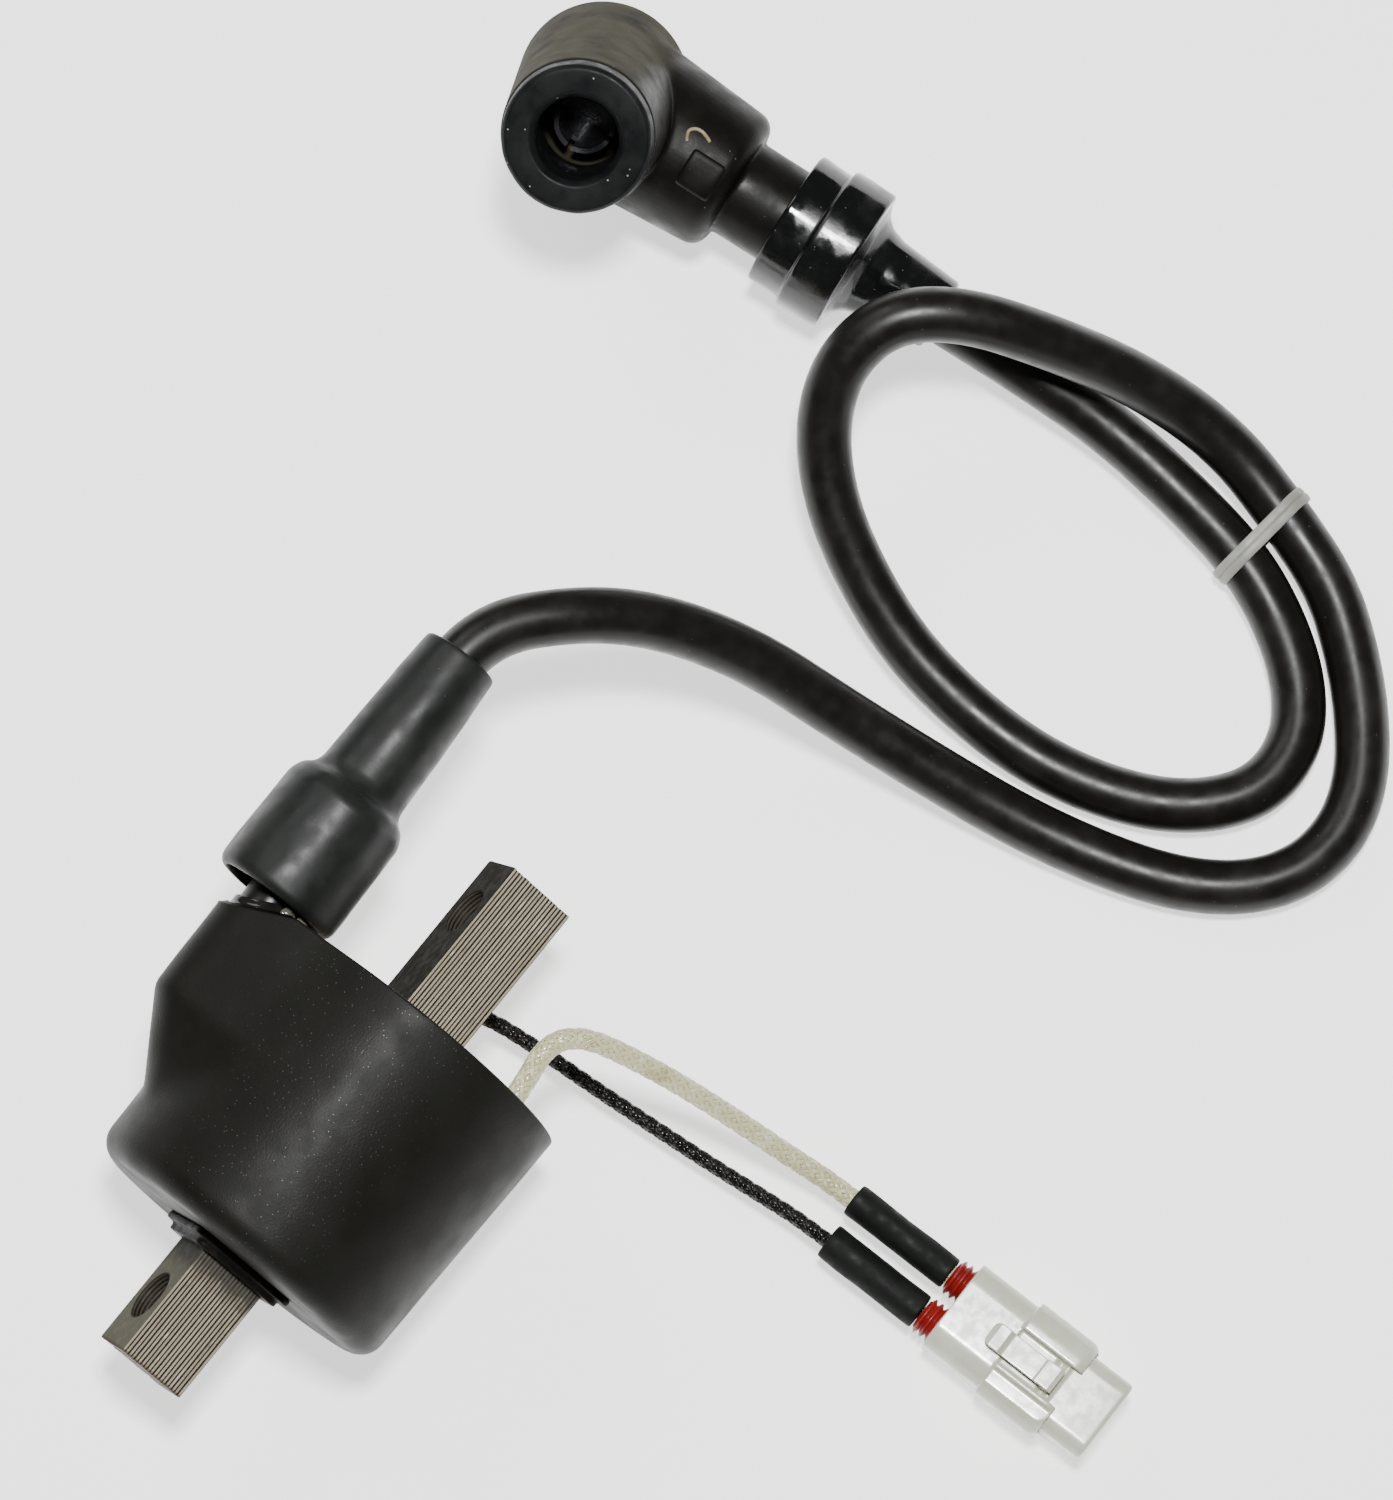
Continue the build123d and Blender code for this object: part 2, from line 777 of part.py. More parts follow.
# seal that stays on the lead and closes the cap's neck
with BuildPart() as cap_lead_seal:
    with BuildSketch(arm_plane):
        with BuildLine():
            Polyline(
                (neck_len + 0.1, ht_d / 2 + fit_gap),
                (neck_len + 0.1, neck_r + twist_gap),
                (seal_near, neck_r + twist_gap),
                (seal_near, ring_small_r - 0.3),
                (seal_near + 0.3, ring_small_r),
                (ring_large_at, ring_small_r),
                (ring_large_at, ring_large_r - 0.3),
                (ring_large_at + 0.3, ring_large_r),
                (ring_large_end - 0.3, ring_large_r),
                (ring_large_end, ring_large_r - 0.3),
                (ring_large_end, ring_large_r - 2.4),
            )
            Spline(
                (ring_large_end, ring_large_r - 2.4),
                (nozzle_at, nozzle_root_r),
                tangents=((1, -1.6), (1, -0.07)),
            )
            Polyline(
                (nozzle_at, nozzle_root_r),
                (nozzle_len - 0.4, nozzle_tip_r),
                (nozzle_len, nozzle_tip_r - 0.4),
                (nozzle_len, ht_d / 2 + fit_gap),
                (neck_len + 0.1, ht_d / 2 + fit_gap),
            )
        make_face()
    revolve(axis=arm_axis)
cap_lead_seal.part.label = "cap_lead_seal"
export_step(cap_lead_seal.part, "parts/cap_lead_seal.step")


# ---------------------------------------------------------------- on the primary leads
def conn_plane(depth):
    """Plane across the connector, at a depth from its back face: local x is X and local y is Z."""
    return Plane(
        origin=(conn_x, conn_back_y - depth, conn_z),
        x_dir=(1, 0, 0),
        z_dir=(0, -1, 0),
    )


white_side = (wire_pitch / 2, 0)
black_side = (-wire_pitch / 2, 0)

with BuildPart() as heat_shrink_white:
    with BuildSketch(conn_plane(shrink_from_white)):
        with Locations(white_side):
            Circle(shrink_white_r)
            Circle(white_d / 2 + shrink_gap, mode=Mode.SUBTRACT)
    extrude(amount=shrink_to - shrink_from_white)
heat_shrink_white.part.label = "heat_shrink_white"
export_step(heat_shrink_white.part, "parts/heat_shrink_white.step")

with BuildPart() as heat_shrink_black:
    with BuildSketch(conn_plane(shrink_from_black)):
        with Locations(black_side):
            Circle(shrink_black_r)
            Circle(black_d / 2 + shrink_gap, mode=Mode.SUBTRACT)
    extrude(amount=shrink_to - shrink_from_black)
heat_shrink_black.part.label = "heat_shrink_black"
export_step(heat_shrink_black.part, "parts/heat_shrink_black.step")

rib_count = 7
rib_len = 0.4
rib_high = 0.45
rib_pitch = (seal_len - rib_len) / (rib_count - 1)
with BuildPart() as wire_seals:
    for side, diameter in ((white_side, white_d), (black_side, black_d)):
        with BuildSketch(conn_plane(seal_from)):
            with Locations(side):
                Circle(seal_rib_r - rib_high)
        extrude(amount=seal_len)
        for i in range(rib_count):
            with BuildSketch(conn_plane(seal_from + i * rib_pitch)):
                with Locations(side):
                    Circle(seal_rib_r)
            extrude(amount=rib_len)
    for side, diameter in ((white_side, white_d), (black_side, black_d)):
        with BuildSketch(conn_plane(seal_from)):
            with Locations(side):
                Circle(diameter / 2 + fit_gap)
        extrude(amount=seal_len, mode=Mode.SUBTRACT)
wire_seals.part.label = "wire_seals"
export_step(wire_seals.part, "parts/wire_seals.step")

box_from = 6.5
receptacle_from = 11.0
lead_end_depth = conn_back_y - leads_end_y
crimp_wall = 0.4
with BuildPart() as contact_pins:
    for side, diameter in ((white_side, white_d), (black_side, black_d)):
        with BuildSketch(conn_plane(contact_from)):
            with Locations(side):
                Circle(diameter / 2 + crimp_wall)
        extrude(amount=box_from - contact_from)
        with BuildSketch(conn_plane(contact_from)):
            with Locations(side):
                Circle(diameter / 2 + fit_gap)
        extrude(amount=lead_end_depth - contact_from + fit_gap, mode=Mode.SUBTRACT)
        with BuildSketch(conn_plane(box_from)):
            with Locations(side):
                Rectangle(contact_side, contact_side)
        extrude(amount=contact_end - box_from)
        with BuildSketch(conn_plane(receptacle_from)):
            with Locations(side):
                Rectangle(contact_side - 0.7, contact_side - 1.2)
        extrude(amount=contact_end - receptacle_from, mode=Mode.SUBTRACT)
contact_pins.part.label = "contact_pins"
export_step(contact_pins.part, "parts/contact_pins.step")

# ---------------------------------------------------------------- connector housing
channel_low = 4.4
channel_from = -2.7
channel_to = 2.5
rail_from = -3.4
latch_axis_y = channel_low + 0.3
groove_from = 16.2
side_drop = 0.6
with BuildPart() as connector_housing:
    with BuildSketch(conn_plane(0)):
        RectangleRounded(back_w, back_h, 3.0)
    extrude(amount=back_len)
    with BuildSketch(conn_plane(back_len)):
        RectangleRounded(shroud_w, shroud_h, 3.4)
    extrude(amount=shroud_end - back_len)
    fillet(connector_housing.faces().sort_by(Axis.Y)[0].edges(), 1.6)
    # top of the shroud: channel for the latch, a rail beside it, and a lower side
    with BuildSketch(conn_plane(back_len)):
        with Locations(((channel_from + channel_to) / 2, (channel_low + shroud_h) / 2)):
            Rectangle(channel_to - channel_from, shroud_h - channel_low)
        with Locations(((rail_from - shroud_w / 2) / 2, shroud_h / 2)):
            Rectangle(rail_from + shroud_w / 2, 2 * side_drop)
    extrude(amount=shroud_end - back_len, mode=Mode.SUBTRACT)
    # groove behind the shroud's front edge, round the nose
    with BuildSketch(conn_plane(groove_from)):
        RectangleRounded(nose_w + 1.0, nose_h + 1.0, 2.2)
    extrude(amount=shroud_end - groove_from, mode=Mode.SUBTRACT)
    with BuildSketch(conn_plane(back_len)):
        RectangleRounded(nose_w, nose_h, 1.8)
    extrude(amount=nose_len - back_len)
    fillet(connector_housing.faces().sort_by(Axis.Y)[0].edges(), 0.5)
    # ways for the seals and the contacts
    for depth, end, radius in ((0, contact_from, seal_rib_r + fit_gap), (contact_from, box_from, 2.0)):
        with BuildSketch(conn_plane(depth)):
            with Locations(white_side, black_side):
                Circle(radius)
        extrude(amount=end - depth + 0.2, mode=Mode.SUBTRACT)
    with BuildSketch(conn_plane(box_from)):
        with Locations(white_side, black_side):
            Rectangle(contact_side + 0.2, contact_side + 0.2)
    extrude(amount=cavity_end - box_from, mode=Mode.SUBTRACT)
    with BuildSketch(conn_plane(cavity_end)):
        with Locations(white_side, black_side):
            Rectangle(contact_side - 0.5, contact_side - 1.0)
    extrude(amount=nose_len - cavity_end, mode=Mode.SUBTRACT)
    # round groove that holds the latch's foot
    with BuildSketch(Plane.YZ.offset(conn_x + channel_from)):
        with Locations((conn_back_y - latch_pivot, conn_z + latch_axis_y)):
            Circle(latch_foot_r + twist_gap)
    extrude(amount=channel_to - channel_from, mode=Mode.SUBTRACT)
connector_housing.part.label = "connector_housing"
export_step(connector_housing.part, "parts/connector_housing.step")

# ---------------------------------------------------------------- connector latch
beam_low = 5.6
beam_high = 6.2
pad_high = 6.7
latch_start = 5.7
latch_end = 16.0
hook_from = 13.5
pad_len = 2.7
latch_plane = Plane(
    origin=(conn_x + latch_mid - latch_w / 2, conn_back_y, conn_z),
    x_dir=(0, 1, 0),
    z_dir=(1, 0, 0),
)
with BuildPart() as connector_latch:
    with BuildSketch(latch_plane):
        with BuildLine():
            Polyline(
                (-latch_pivot - 0.4, latch_axis_y),
                (-latch_pivot - 0.4, beam_low),
                (-latch_end, beam_low),
                (-latch_end, pad_high - 0.6),
                (-latch_end + 0.5, pad_high),
                (-hook_from, pad_high),
                (-hook_from, beam_high),
                (-latch_start - pad_len, beam_high),
                (-latch_start - pad_len + 0.5, pad_high),
                (-latch_start - 0.7, pad_high),
                (-latch_start, pad_high - 0.5),
                (-latch_start, beam_low),
                (-latch_pivot + 0.4, beam_low),
                (-latch_pivot + 0.4, latch_axis_y),
                (-latch_pivot - 0.4, latch_axis_y),
            )
        make_face()
        with Locations((-latch_pivot, latch_axis_y)):
            Circle(latch_foot_r)
    extrude(amount=latch_w)
    fillet(connector_latch.faces().sort_by(Axis.Y)[-1].edges().filter_by(Axis.Z), 0.8)
connector_latch.part.label = "connector_latch"
export_step(connector_latch.part, "parts/connector_latch.step")
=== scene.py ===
"""Looks of the ignition coil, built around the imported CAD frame.

Lengths are in metres in the frame of the CAD model. Shapes are listed in millimetres, times MM.
"""

import json
from math import acos, atan2, cos, pi, radians, sin, sqrt, tan

import bpy
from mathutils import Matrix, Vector, noise


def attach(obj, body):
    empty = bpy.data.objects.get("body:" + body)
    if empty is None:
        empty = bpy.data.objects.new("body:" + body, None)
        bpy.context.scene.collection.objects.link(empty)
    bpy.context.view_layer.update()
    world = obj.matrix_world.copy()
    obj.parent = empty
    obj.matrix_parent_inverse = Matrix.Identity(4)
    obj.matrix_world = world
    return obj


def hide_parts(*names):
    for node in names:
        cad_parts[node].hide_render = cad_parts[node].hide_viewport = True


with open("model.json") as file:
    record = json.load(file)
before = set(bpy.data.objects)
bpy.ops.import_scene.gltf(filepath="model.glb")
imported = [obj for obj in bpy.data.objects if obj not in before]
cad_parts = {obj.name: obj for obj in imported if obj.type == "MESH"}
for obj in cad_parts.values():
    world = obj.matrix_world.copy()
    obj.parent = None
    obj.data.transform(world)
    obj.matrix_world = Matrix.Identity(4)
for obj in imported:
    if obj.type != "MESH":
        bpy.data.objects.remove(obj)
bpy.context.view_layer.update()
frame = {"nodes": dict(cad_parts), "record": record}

MM = 0.001
ALONG = Vector((1, 0, 0))
UP = Vector((0, 0, 1))
record = frame["record"]
joints = {joint["name"]: joint for joint in record["behaviour"]["joints"]}
mounts = {mount["name"]: mount for mount in record["mounts"]}

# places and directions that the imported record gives
elbow = Vector(joints["cap_twist"]["pos_m"])
arm_dir = Vector(joints["cap_twist"]["axis"]).normalized()
mouth_dir = Vector(mounts["plug_mouth"]["axis"]).normalized()
tower_dir = Vector(joints["boot_slide"]["axis"]).normalized()
bolt_dir = -Vector(mounts["core_hole_front"]["axis"]).normalized()
edge_dir = ALONG.cross(bolt_dir)
core_centre = (Vector(mounts["core_hole_front"]["pos_m"]) + Vector(mounts["core_hole_rear"]["pos_m"])) / 2
core_centre.x = 0
hole_x = abs(mounts["core_hole_front"]["pos_m"][0])
hole_r = mounts["core_hole_front"]["dims"]["r_mm"] * MM


# ---------------------------------------------------------------- camera, floor and light
CAMERA_TARGET = Vector((0.0679, -0.0045, 0))
CAMERA_DISTANCE = 0.7
CAMERA_AZIMUTH = radians(-51.7)
CAMERA_ELEVATION = radians(76.5)
CAMERA_LENS = 131.9


view_ahead = Vector((-sin(CAMERA_AZIMUTH), cos(CAMERA_AZIMUTH), 0))
view_back = UP * sin(CAMERA_ELEVATION) - view_ahead * cos(CAMERA_ELEVATION)
view_right = view_ahead.cross(UP)
view_up = view_right.cross(-view_back)


def make_camera():
    """Camera at the photograph's viewing angle."""
    data = bpy.data.cameras.new("camera")
    data.lens = CAMERA_LENS
    data.sensor_width = 36
    data.clip_start = 0.01
    camera = bpy.data.objects.new("camera", data)
    camera.location = CAMERA_TARGET + view_back * CAMERA_DISTANCE
    camera.rotation_mode = "QUATERNION"
    camera.rotation_quaternion = (-view_back).to_track_quat("-Z", "Y")
    bpy.context.scene.collection.objects.link(camera)
    bpy.context.scene.camera = camera


def add_light(name, place, size, power, colour=(1, 1, 1)):
    """Square area light at a place, facing the middle of the object."""
    data = bpy.data.lights.new(name, "AREA")
    data.size = size
    data.energy = power
    data.color = colour
    light = bpy.data.objects.new(name, data)
    light.location = place
    light.rotation_mode = "QUATERNION"
    light.rotation_quaternion = (CAMERA_TARGET - Vector(place)).to_track_quat("-Z", "Y")
    bpy.context.scene.collection.objects.link(light)


def beside_camera(right, up, distance):
    """A place at some degrees right of the camera and above it, as the object sees them."""
    way = view_back + view_right * tan(radians(right)) + view_up * tan(radians(up))
    return CAMERA_TARGET + way.normalized() * distance


make_camera()
add_light("key", beside_camera(2, 12, 0.78), 0.09, 9.0)
add_light("side", beside_camera(-35, 50, 0.8), 0.35, 1.3)

world = bpy.data.worlds.new("studio")
bpy.context.scene.world = world
world.use_nodes = True
world.node_tree.nodes["Background"].inputs["Color"].default_value = (1, 1, 1, 1)
world.node_tree.nodes["Background"].inputs["Strength"].default_value = 0.09


# iron core, in millimetres
SHEETS = 19
SHEET_PITCH = 0.5
SHEET_THICK = 0.47
CORE_HALF = 37.5
CORE_SIDE = 9.5


# ---------------------------------------------------------------- materials
class Finish:
    """A procedural material: a Principled shader, and short calls that add its detail."""

    def __init__(self, name, colour, roughness, **values):
        self.material = bpy.data.materials.new(name)
        self.material.use_nodes = True
        self.tree = self.material.node_tree
        self.shader = self.tree.nodes["Principled BSDF"]
        self.places = self.tree.nodes.new("ShaderNodeTexCoord").outputs["Object"]
        self.normal = None
        self.shader.inputs["Base Color"].default_value = (*colour, 1)
        self.shader.inputs["Roughness"].default_value = roughness
        for key, value in values.items():
            self.shader.inputs[key.replace("_", " ").title().replace("Ior", "IOR")].default_value = value

    def node(self, kind, **inputs):
        """A node with its inputs set, or linked where a socket is given."""
        made = self.tree.nodes.new(kind)
        for key, value in inputs.items():
            socket = made.inputs[int(key[1:])] if key[0] == "i" and key[1:].isdigit() else made.inputs[key]
            if isinstance(value, bpy.types.NodeSocket):
                self.tree.links.new(value, socket)
            else:
                socket.default_value = value
        return made

    def grain(self, size, detail=2.0, rough=0.5):
        """Noise with features of about a size in millimetres, from 0 to 1."""
        texture = self.node("ShaderNodeTexNoise", Vector=self.places)
        texture.inputs["Scale"].default_value = 1 / (size * MM)
        texture.inputs["Detail"].default_value = detail
        texture.inputs["Roughness"].default_value = rough
        return texture.outputs["Fac"]

    def cells(self, size):
        """Distance to the nearest of scattered points, about a size in millimetres apart."""
        texture = self.node("ShaderNodeTexVoronoi", Vector=self.places)
        texture.inputs["Scale"].default_value = 1 / (size * MM)
        return texture.outputs["Distance"]

    def depth(self, origin, direction):
        """Distance along a direction from an origin, in millimetres."""
        moved = self.node("ShaderNodeVectorMath", i0=self.places, i1=tuple(origin))
        moved.operation = "SUBTRACT"
        onto = self.node("ShaderNodeVectorMath", i0=moved.outputs[0], i1=tuple(Vector(direction) / MM))
        onto.operation = "DOT_PRODUCT"
        return onto.outputs["Value"]

    def math(self, kind, first, second=0.0):
        made = self.node("ShaderNodeMath", i0=first, i1=second)
        made.operation = kind
        return made.outputs[0]

    def ramp(self, factor, low, high, to_low=0.0, to_high=1.0):
        """Factor read between two values, as a smooth number between two others."""
        made = self.node("ShaderNodeMapRange", Value=factor)
        made.interpolation_type = "SMOOTHSTEP"
        for key, value in (("From Min", low), ("From Max", high), ("To Min", to_low), ("To Max", to_high)):
            made.inputs[key].default_value = value
        return made.outputs["Result"]

    def tint(self, factor, colour):
        """Turn the base colour towards a colour by a factor."""
        socket = self.shader.inputs["Base Color"]
        made = self.tree.nodes.new("ShaderNodeMix")
        made.data_type = "RGBA"
        self.tree.links.new(factor, made.inputs[0])
        if socket.is_linked:
            self.tree.links.new(socket.links[0].from_socket, made.inputs[6])
        else:
            made.inputs[6].default_value = socket.default_value
        made.inputs[7].default_value = (*colour, 1)
        self.tree.links.new(made.outputs[2], socket)

    def gloss(self, factor, low, high, to_low, to_high):
        """Roughness that follows a factor."""
        self.tree.links.new(self.ramp(factor, low, high, to_low, to_high), self.shader.inputs["Roughness"])

    def bump(self, height, strength, size):
        """Bump whose height of 1 is a size in millimetres."""
        made = self.node("ShaderNodeBump", Height=height, Strength=strength, Distance=size * MM)
        if self.normal:
            self.tree.links.new(self.normal, made.inputs["Normal"])
        self.normal = made.outputs["Normal"]
        self.tree.links.new(self.normal, self.shader.inputs["Normal"])


def case_finish():
    """Fine-grained black moulding, a little olive, with pale specks on its upper side: painted glints where
    the highlight lies.
    """
    made = Finish("case_plastic", (0.0062, 0.0060, 0.0046), 0.50, specular_ior_level=0.13)
    made.tint(made.ramp(made.grain(14, 3), 0.35, 0.7), (0.0095, 0.0095, 0.0078))
    painted_glint_side = made.ramp(made.depth(core_centre, UP), 16.5, 20.5)
    # pale specks on the upper side: painted glints, also made a little less rough
    specks = made.math("MULTIPLY", made.ramp(made.cells(0.6), 0.14, 0.07), painted_glint_side)
    uneven = made.ramp(made.grain(5, 4), 0.3, 0.7, 0.44, 0.56)
    rough = made.math("SUBTRACT", uneven, made.math("MULTIPLY", specks, 0.2))
    made.tree.links.new(rough, made.shader.inputs["Roughness"])
    made.bump(made.grain(0.30, 2), 0.6, 0.05)
    # painted glints: the specks on the upper side are tinted pale
    made.tint(specks, (0.075, 0.080, 0.078))
    made.bump(made.grain(9, 2), 0.25, 0.25)
    return made.material


def lead_finish():
    """Smooth black sheath, slightly brown, with a soft shine and faint dust."""
    made = Finish("ht_lead_rubber", (0.0055, 0.0050, 0.0042), 0.34, specular_ior_level=0.30)
    made.tint(made.ramp(made.grain(6, 5), 0.45, 0.8), (0.011, 0.010, 0.0085))
    made.gloss(made.grain(2.2, 5), 0.3, 0.7, 0.30, 0.43)
    made.tint(made.ramp(made.cells(1.6), 0.05, 0.02), (0.12, 0.12, 0.11))
    made.bump(made.grain(0.5, 3), 0.12, 0.03)
    made.bump(made.grain(7, 2), 0.10, 0.3)
    return made.material


def boot_finish():
    """Greenish black rubber, with flow marks along it."""
    made = Finish("boot_rubber", (0.0075, 0.0088, 0.0078), 0.44, specular_ior_level=0.28)
    made.tint(made.ramp(made.grain(8, 4), 0.4, 0.75), (0.014, 0.0155, 0.013))
    made.gloss(made.grain(3, 4), 0.3, 0.7, 0.36, 0.52)
    made.tint(made.ramp(made.cells(1.5), 0.05, 0.02), (0.10, 0.10, 0.09))
    made.bump(made.grain(0.4, 3), 0.2, 0.04)
    made.bump(made.grain(5, 2), 0.08, 0.2)
    return made.material


def seal_finish():
    """Dark rubber with resin left on it in places."""
    made = Finish("seal_rubber", (0.0060, 0.0050, 0.0044), 0.55, specular_ior_level=0.10)
    made.tint(made.ramp(made.grain(3, 3), 0.5, 0.8), (0.020, 0.015, 0.012))
    made.gloss(made.grain(1.8, 3), 0.35, 0.65, 0.48, 0.65)
    made.bump(made.grain(1.2, 3), 0.15, 0.08)
    return made.material


def cap_rubber_finish():
    """Wet-looking black rubber, with specks of dust and old glue."""
    made = Finish("cap_rubber", (0.0035, 0.0038, 0.0038), 0.12, specular_ior_level=0.45, coat_weight=0.15)
    made.tint(made.ramp(made.cells(1.3), 0.09, 0.04), (0.10, 0.10, 0.09))
    made.gloss(made.grain(3.5, 4), 0.35, 0.68, 0.08, 0.34)
    made.bump(made.grain(1.6, 3), 0.35, 0.10)
    made.bump(made.grain(0.3, 2), 0.10, 0.03)
    return made.material


def mouth_finish():
    """Dull black rubber of the mouth's lip, with a few specks."""
    made = Finish("mouth_rubber", (0.0045, 0.0050, 0.0052), 0.50, specular_ior_level=0.16)
    made.tint(made.ramp(made.grain(5, 4), 0.4, 0.75), (0.009, 0.0095, 0.0095))
    made.tint(made.ramp(made.cells(2.1), 0.07, 0.03), (0.30, 0.30, 0.28))
    made.gloss(made.grain(2, 4), 0.3, 0.7, 0.36, 0.6)
    made.bump(made.grain(0.4, 3), 0.25, 0.05)
    return made.material


def cap_finish():
    """Olive-black moulding: pale on the barrel's side with dust and painted sheen, dark on the arm."""
    made = Finish("cap_moulding", (0.0048, 0.0045, 0.0036), 0.42, specular_ior_level=0.14)
    # the barrel's side is tinted pale: dust, and painted sheen of the light grazing that side
    barrel = made.math("SUBTRACT", made.depth(elbow, arm_dir), made.math("MULTIPLY", made.grain(6, 3), 1.6))
    dust_and_sheen = made.ramp(barrel, 7.0, 3.0)
    made.tint(dust_and_sheen, (0.052, 0.048, 0.032))
    made.tint(made.ramp(made.grain(9, 4), 0.45, 0.8), (0.010, 0.0095, 0.008))
    front = made.depth(elbow, mouth_dir)
    made.tint(made.ramp(front, 24.0, 25.2), (0.006, 0.006, 0.0055))
    made.tint(made.ramp(made.cells(1.8), 0.06, 0.02), (0.16, 0.16, 0.14))
    uneven = made.ramp(made.grain(3, 4), 0.3, 0.7, 0.34, 0.5)
    rough = made.math("ADD", uneven, made.math("MULTIPLY", dust_and_sheen, 0.45))
    made.tree.links.new(rough, made.shader.inputs["Roughness"])
    made.bump(made.grain(0.35, 3), 0.3, 0.05)
    made.bump(made.grain(6, 2), 0.05, 0.2)
    return made.material


def steel_finish():
    """Sheared sheet edges: pale and brown lines, dark varnish by the seal, and duller flat faces."""
    made = Finish("core_steel", (0.35, 0.315, 0.235), 0.45, specular_ior_level=0.10)
    across = made.depth(core_centre, bolt_dir)
    along = made.depth(core_centre, ALONG)
    sheets = made.math("DIVIDE", across, SHEET_PITCH)
    sheet = made.math("ROUND", sheets)
    own = made.node("ShaderNodeTexWhiteNoise")
    own.noise_dimensions = "1D"
    made.tree.links.new(sheet, own.inputs["W"])
    drawn = made.node("ShaderNodeCombineXYZ", X=made.math("MULTIPLY", along, 0.35),
                      Y=made.math("MULTIPLY", sheet, 3.1))
    made.tree.links.new(made.math("MULTIPLY", made.depth(core_centre, edge_dir), 1.4), drawn.inputs["Z"])
    streaks = made.node("ShaderNodeTexNoise", Vector=drawn.outputs[0], Scale=1.0, Detail=3.0)
    made.tint(made.math("MULTIPLY", own.outputs["Value"], 0.6), (0.25, 0.215, 0.155))
    made.tint(made.ramp(streaks.outputs["Fac"], 0.58, 0.75, 0, 0.7), (0.58, 0.54, 0.45))
    made.tint(made.ramp(streaks.outputs["Fac"], 0.40, 0.22, 0, 0.6), (0.14, 0.12, 0.085))
    # painted shade along the joints between the sheets
    beside = made.math("ABSOLUTE", made.math("SUBTRACT", sheets, sheet))
    made.tint(made.ramp(beside, 0.18, 0.34), (0.022, 0.018, 0.012))
    # the two flat faces of the stack are plain olive grey, darker on the potted end's bar
    flat = made.ramp(made.math("ABSOLUTE", across), 4.60, 4.70)
    made.tint(flat, (0.080, 0.077, 0.056))
    made.tint(made.math("MULTIPLY", flat, made.ramp(along, 0, 1)), (0.011, 0.010, 0.007))
    # painted shade: the bolt holes are darkened nearly to black inside
    aside = made.math("SUBTRACT", made.math("ABSOLUTE", along), hole_x / MM)
    round_part = made.math("ADD", made.math("POWER", made.math("ABSOLUTE", aside), 2.0),
                           made.math("POWER", made.math("ABSOLUTE", made.depth(core_centre, edge_dir)), 2.0))
    in_hole = made.ramp(round_part, (hole_r / MM + 0.25) ** 2, (hole_r / MM + 0.08) ** 2, 0, 0.88)
    made.tint(in_hole, (0.012, 0.011, 0.009))
    # varnish by the closed end's seal, and a rusty line along that end
    smear = made.math("ADD", along, made.math("MULTIPLY", made.grain(1.6, 3), 3.0))
    varnish = made.math("MULTIPLY", made.ramp(smear, -24.4, -21.6, 0, 0.85), made.ramp(along, 0, -1))
    made.tint(varnish, (0.028, 0.028, 0.024))
    made.tint(made.ramp(along, -36.9, -37.3, 0, 0.8), (0.06, 0.035, 0.018))
    uneven = made.ramp(made.grain(1.2, 4), 0.3, 0.7, 0.36, 0.60)
    rough = made.math("ADD", uneven, made.math("MULTIPLY", flat, 0.35))
    made.tree.links.new(rough, made.shader.inputs["Roughness"])
    made.bump(streaks.outputs["Fac"], 0.20, 0.06)
    made.bump(made.grain(0.3, 3), 0.15, 0.03)
    return made.material


def plain_finish(name, colour, roughness, other, size=1.0, strength=0.2, **values):
    """One material with a second colour in patches, uneven gloss and fine relief."""
    made = Finish(name, colour, roughness, **values)
    made.tint(made.ramp(made.grain(4 * size, 4), 0.4, 0.75), other)
    made.gloss(made.grain(2 * size, 3), 0.3, 0.7, roughness * 0.8, min(roughness * 1.25, 1))
    made.bump(made.grain(0.4 * size, 3), strength, 0.05 * size)
    return made.material


def white_braid_finish():
    """Lacquered ivory yarn, glossy, with paler patches painted as highlights and tan patches."""
    made = Finish("white_sleeving", (0.55, 0.53, 0.31), 0.28, specular_ior_level=0.6, coat_weight=0.35)
    # paler patches: painted highlights
    made.tint(made.ramp(made.grain(1.4, 3), 0.5, 0.75), (0.72, 0.71, 0.50))
    made.tint(made.ramp(made.grain(5, 4), 0.52, 0.75), (0.38, 0.33, 0.15))
    made.gloss(made.grain(0.9, 2), 0.35, 0.65, 0.16, 0.5)
    made.bump(made.grain(0.14, 2), 0.5, 0.03)
    return made.material


def black_braid_finish():
    """Lacquered black yarn, with pale flecks painted as glints."""
    made = Finish("black_sleeving", (0.0050, 0.0045, 0.0042), 0.34, specular_ior_level=0.3)
    # pale flecks: painted glints
    made.tint(made.ramp(made.cells(1.2), 0.10, 0.05), (0.22, 0.20, 0.17))
    made.gloss(made.grain(0.7, 2), 0.35, 0.65, 0.14, 0.5)
    made.bump(made.grain(0.14, 2), 0.5, 0.03)
    return made.material


def nylon_finish():
    """Milky nylon, slightly green, with wet-looking highlights."""
    made = Finish("connector_nylon", (0.50, 0.51, 0.41), 0.26, coat_weight=0.35, coat_roughness=0.10)
    made.tint(made.ramp(made.grain(4, 3), 0.4, 0.7), (0.56, 0.565, 0.47))
    made.gloss(made.grain(1.5, 3), 0.3, 0.7, 0.17, 0.36)
    made.bump(made.grain(1.8, 3), 0.12, 0.06)
    made.bump(made.grain(0.3, 2), 0.08, 0.02)
    return made.material


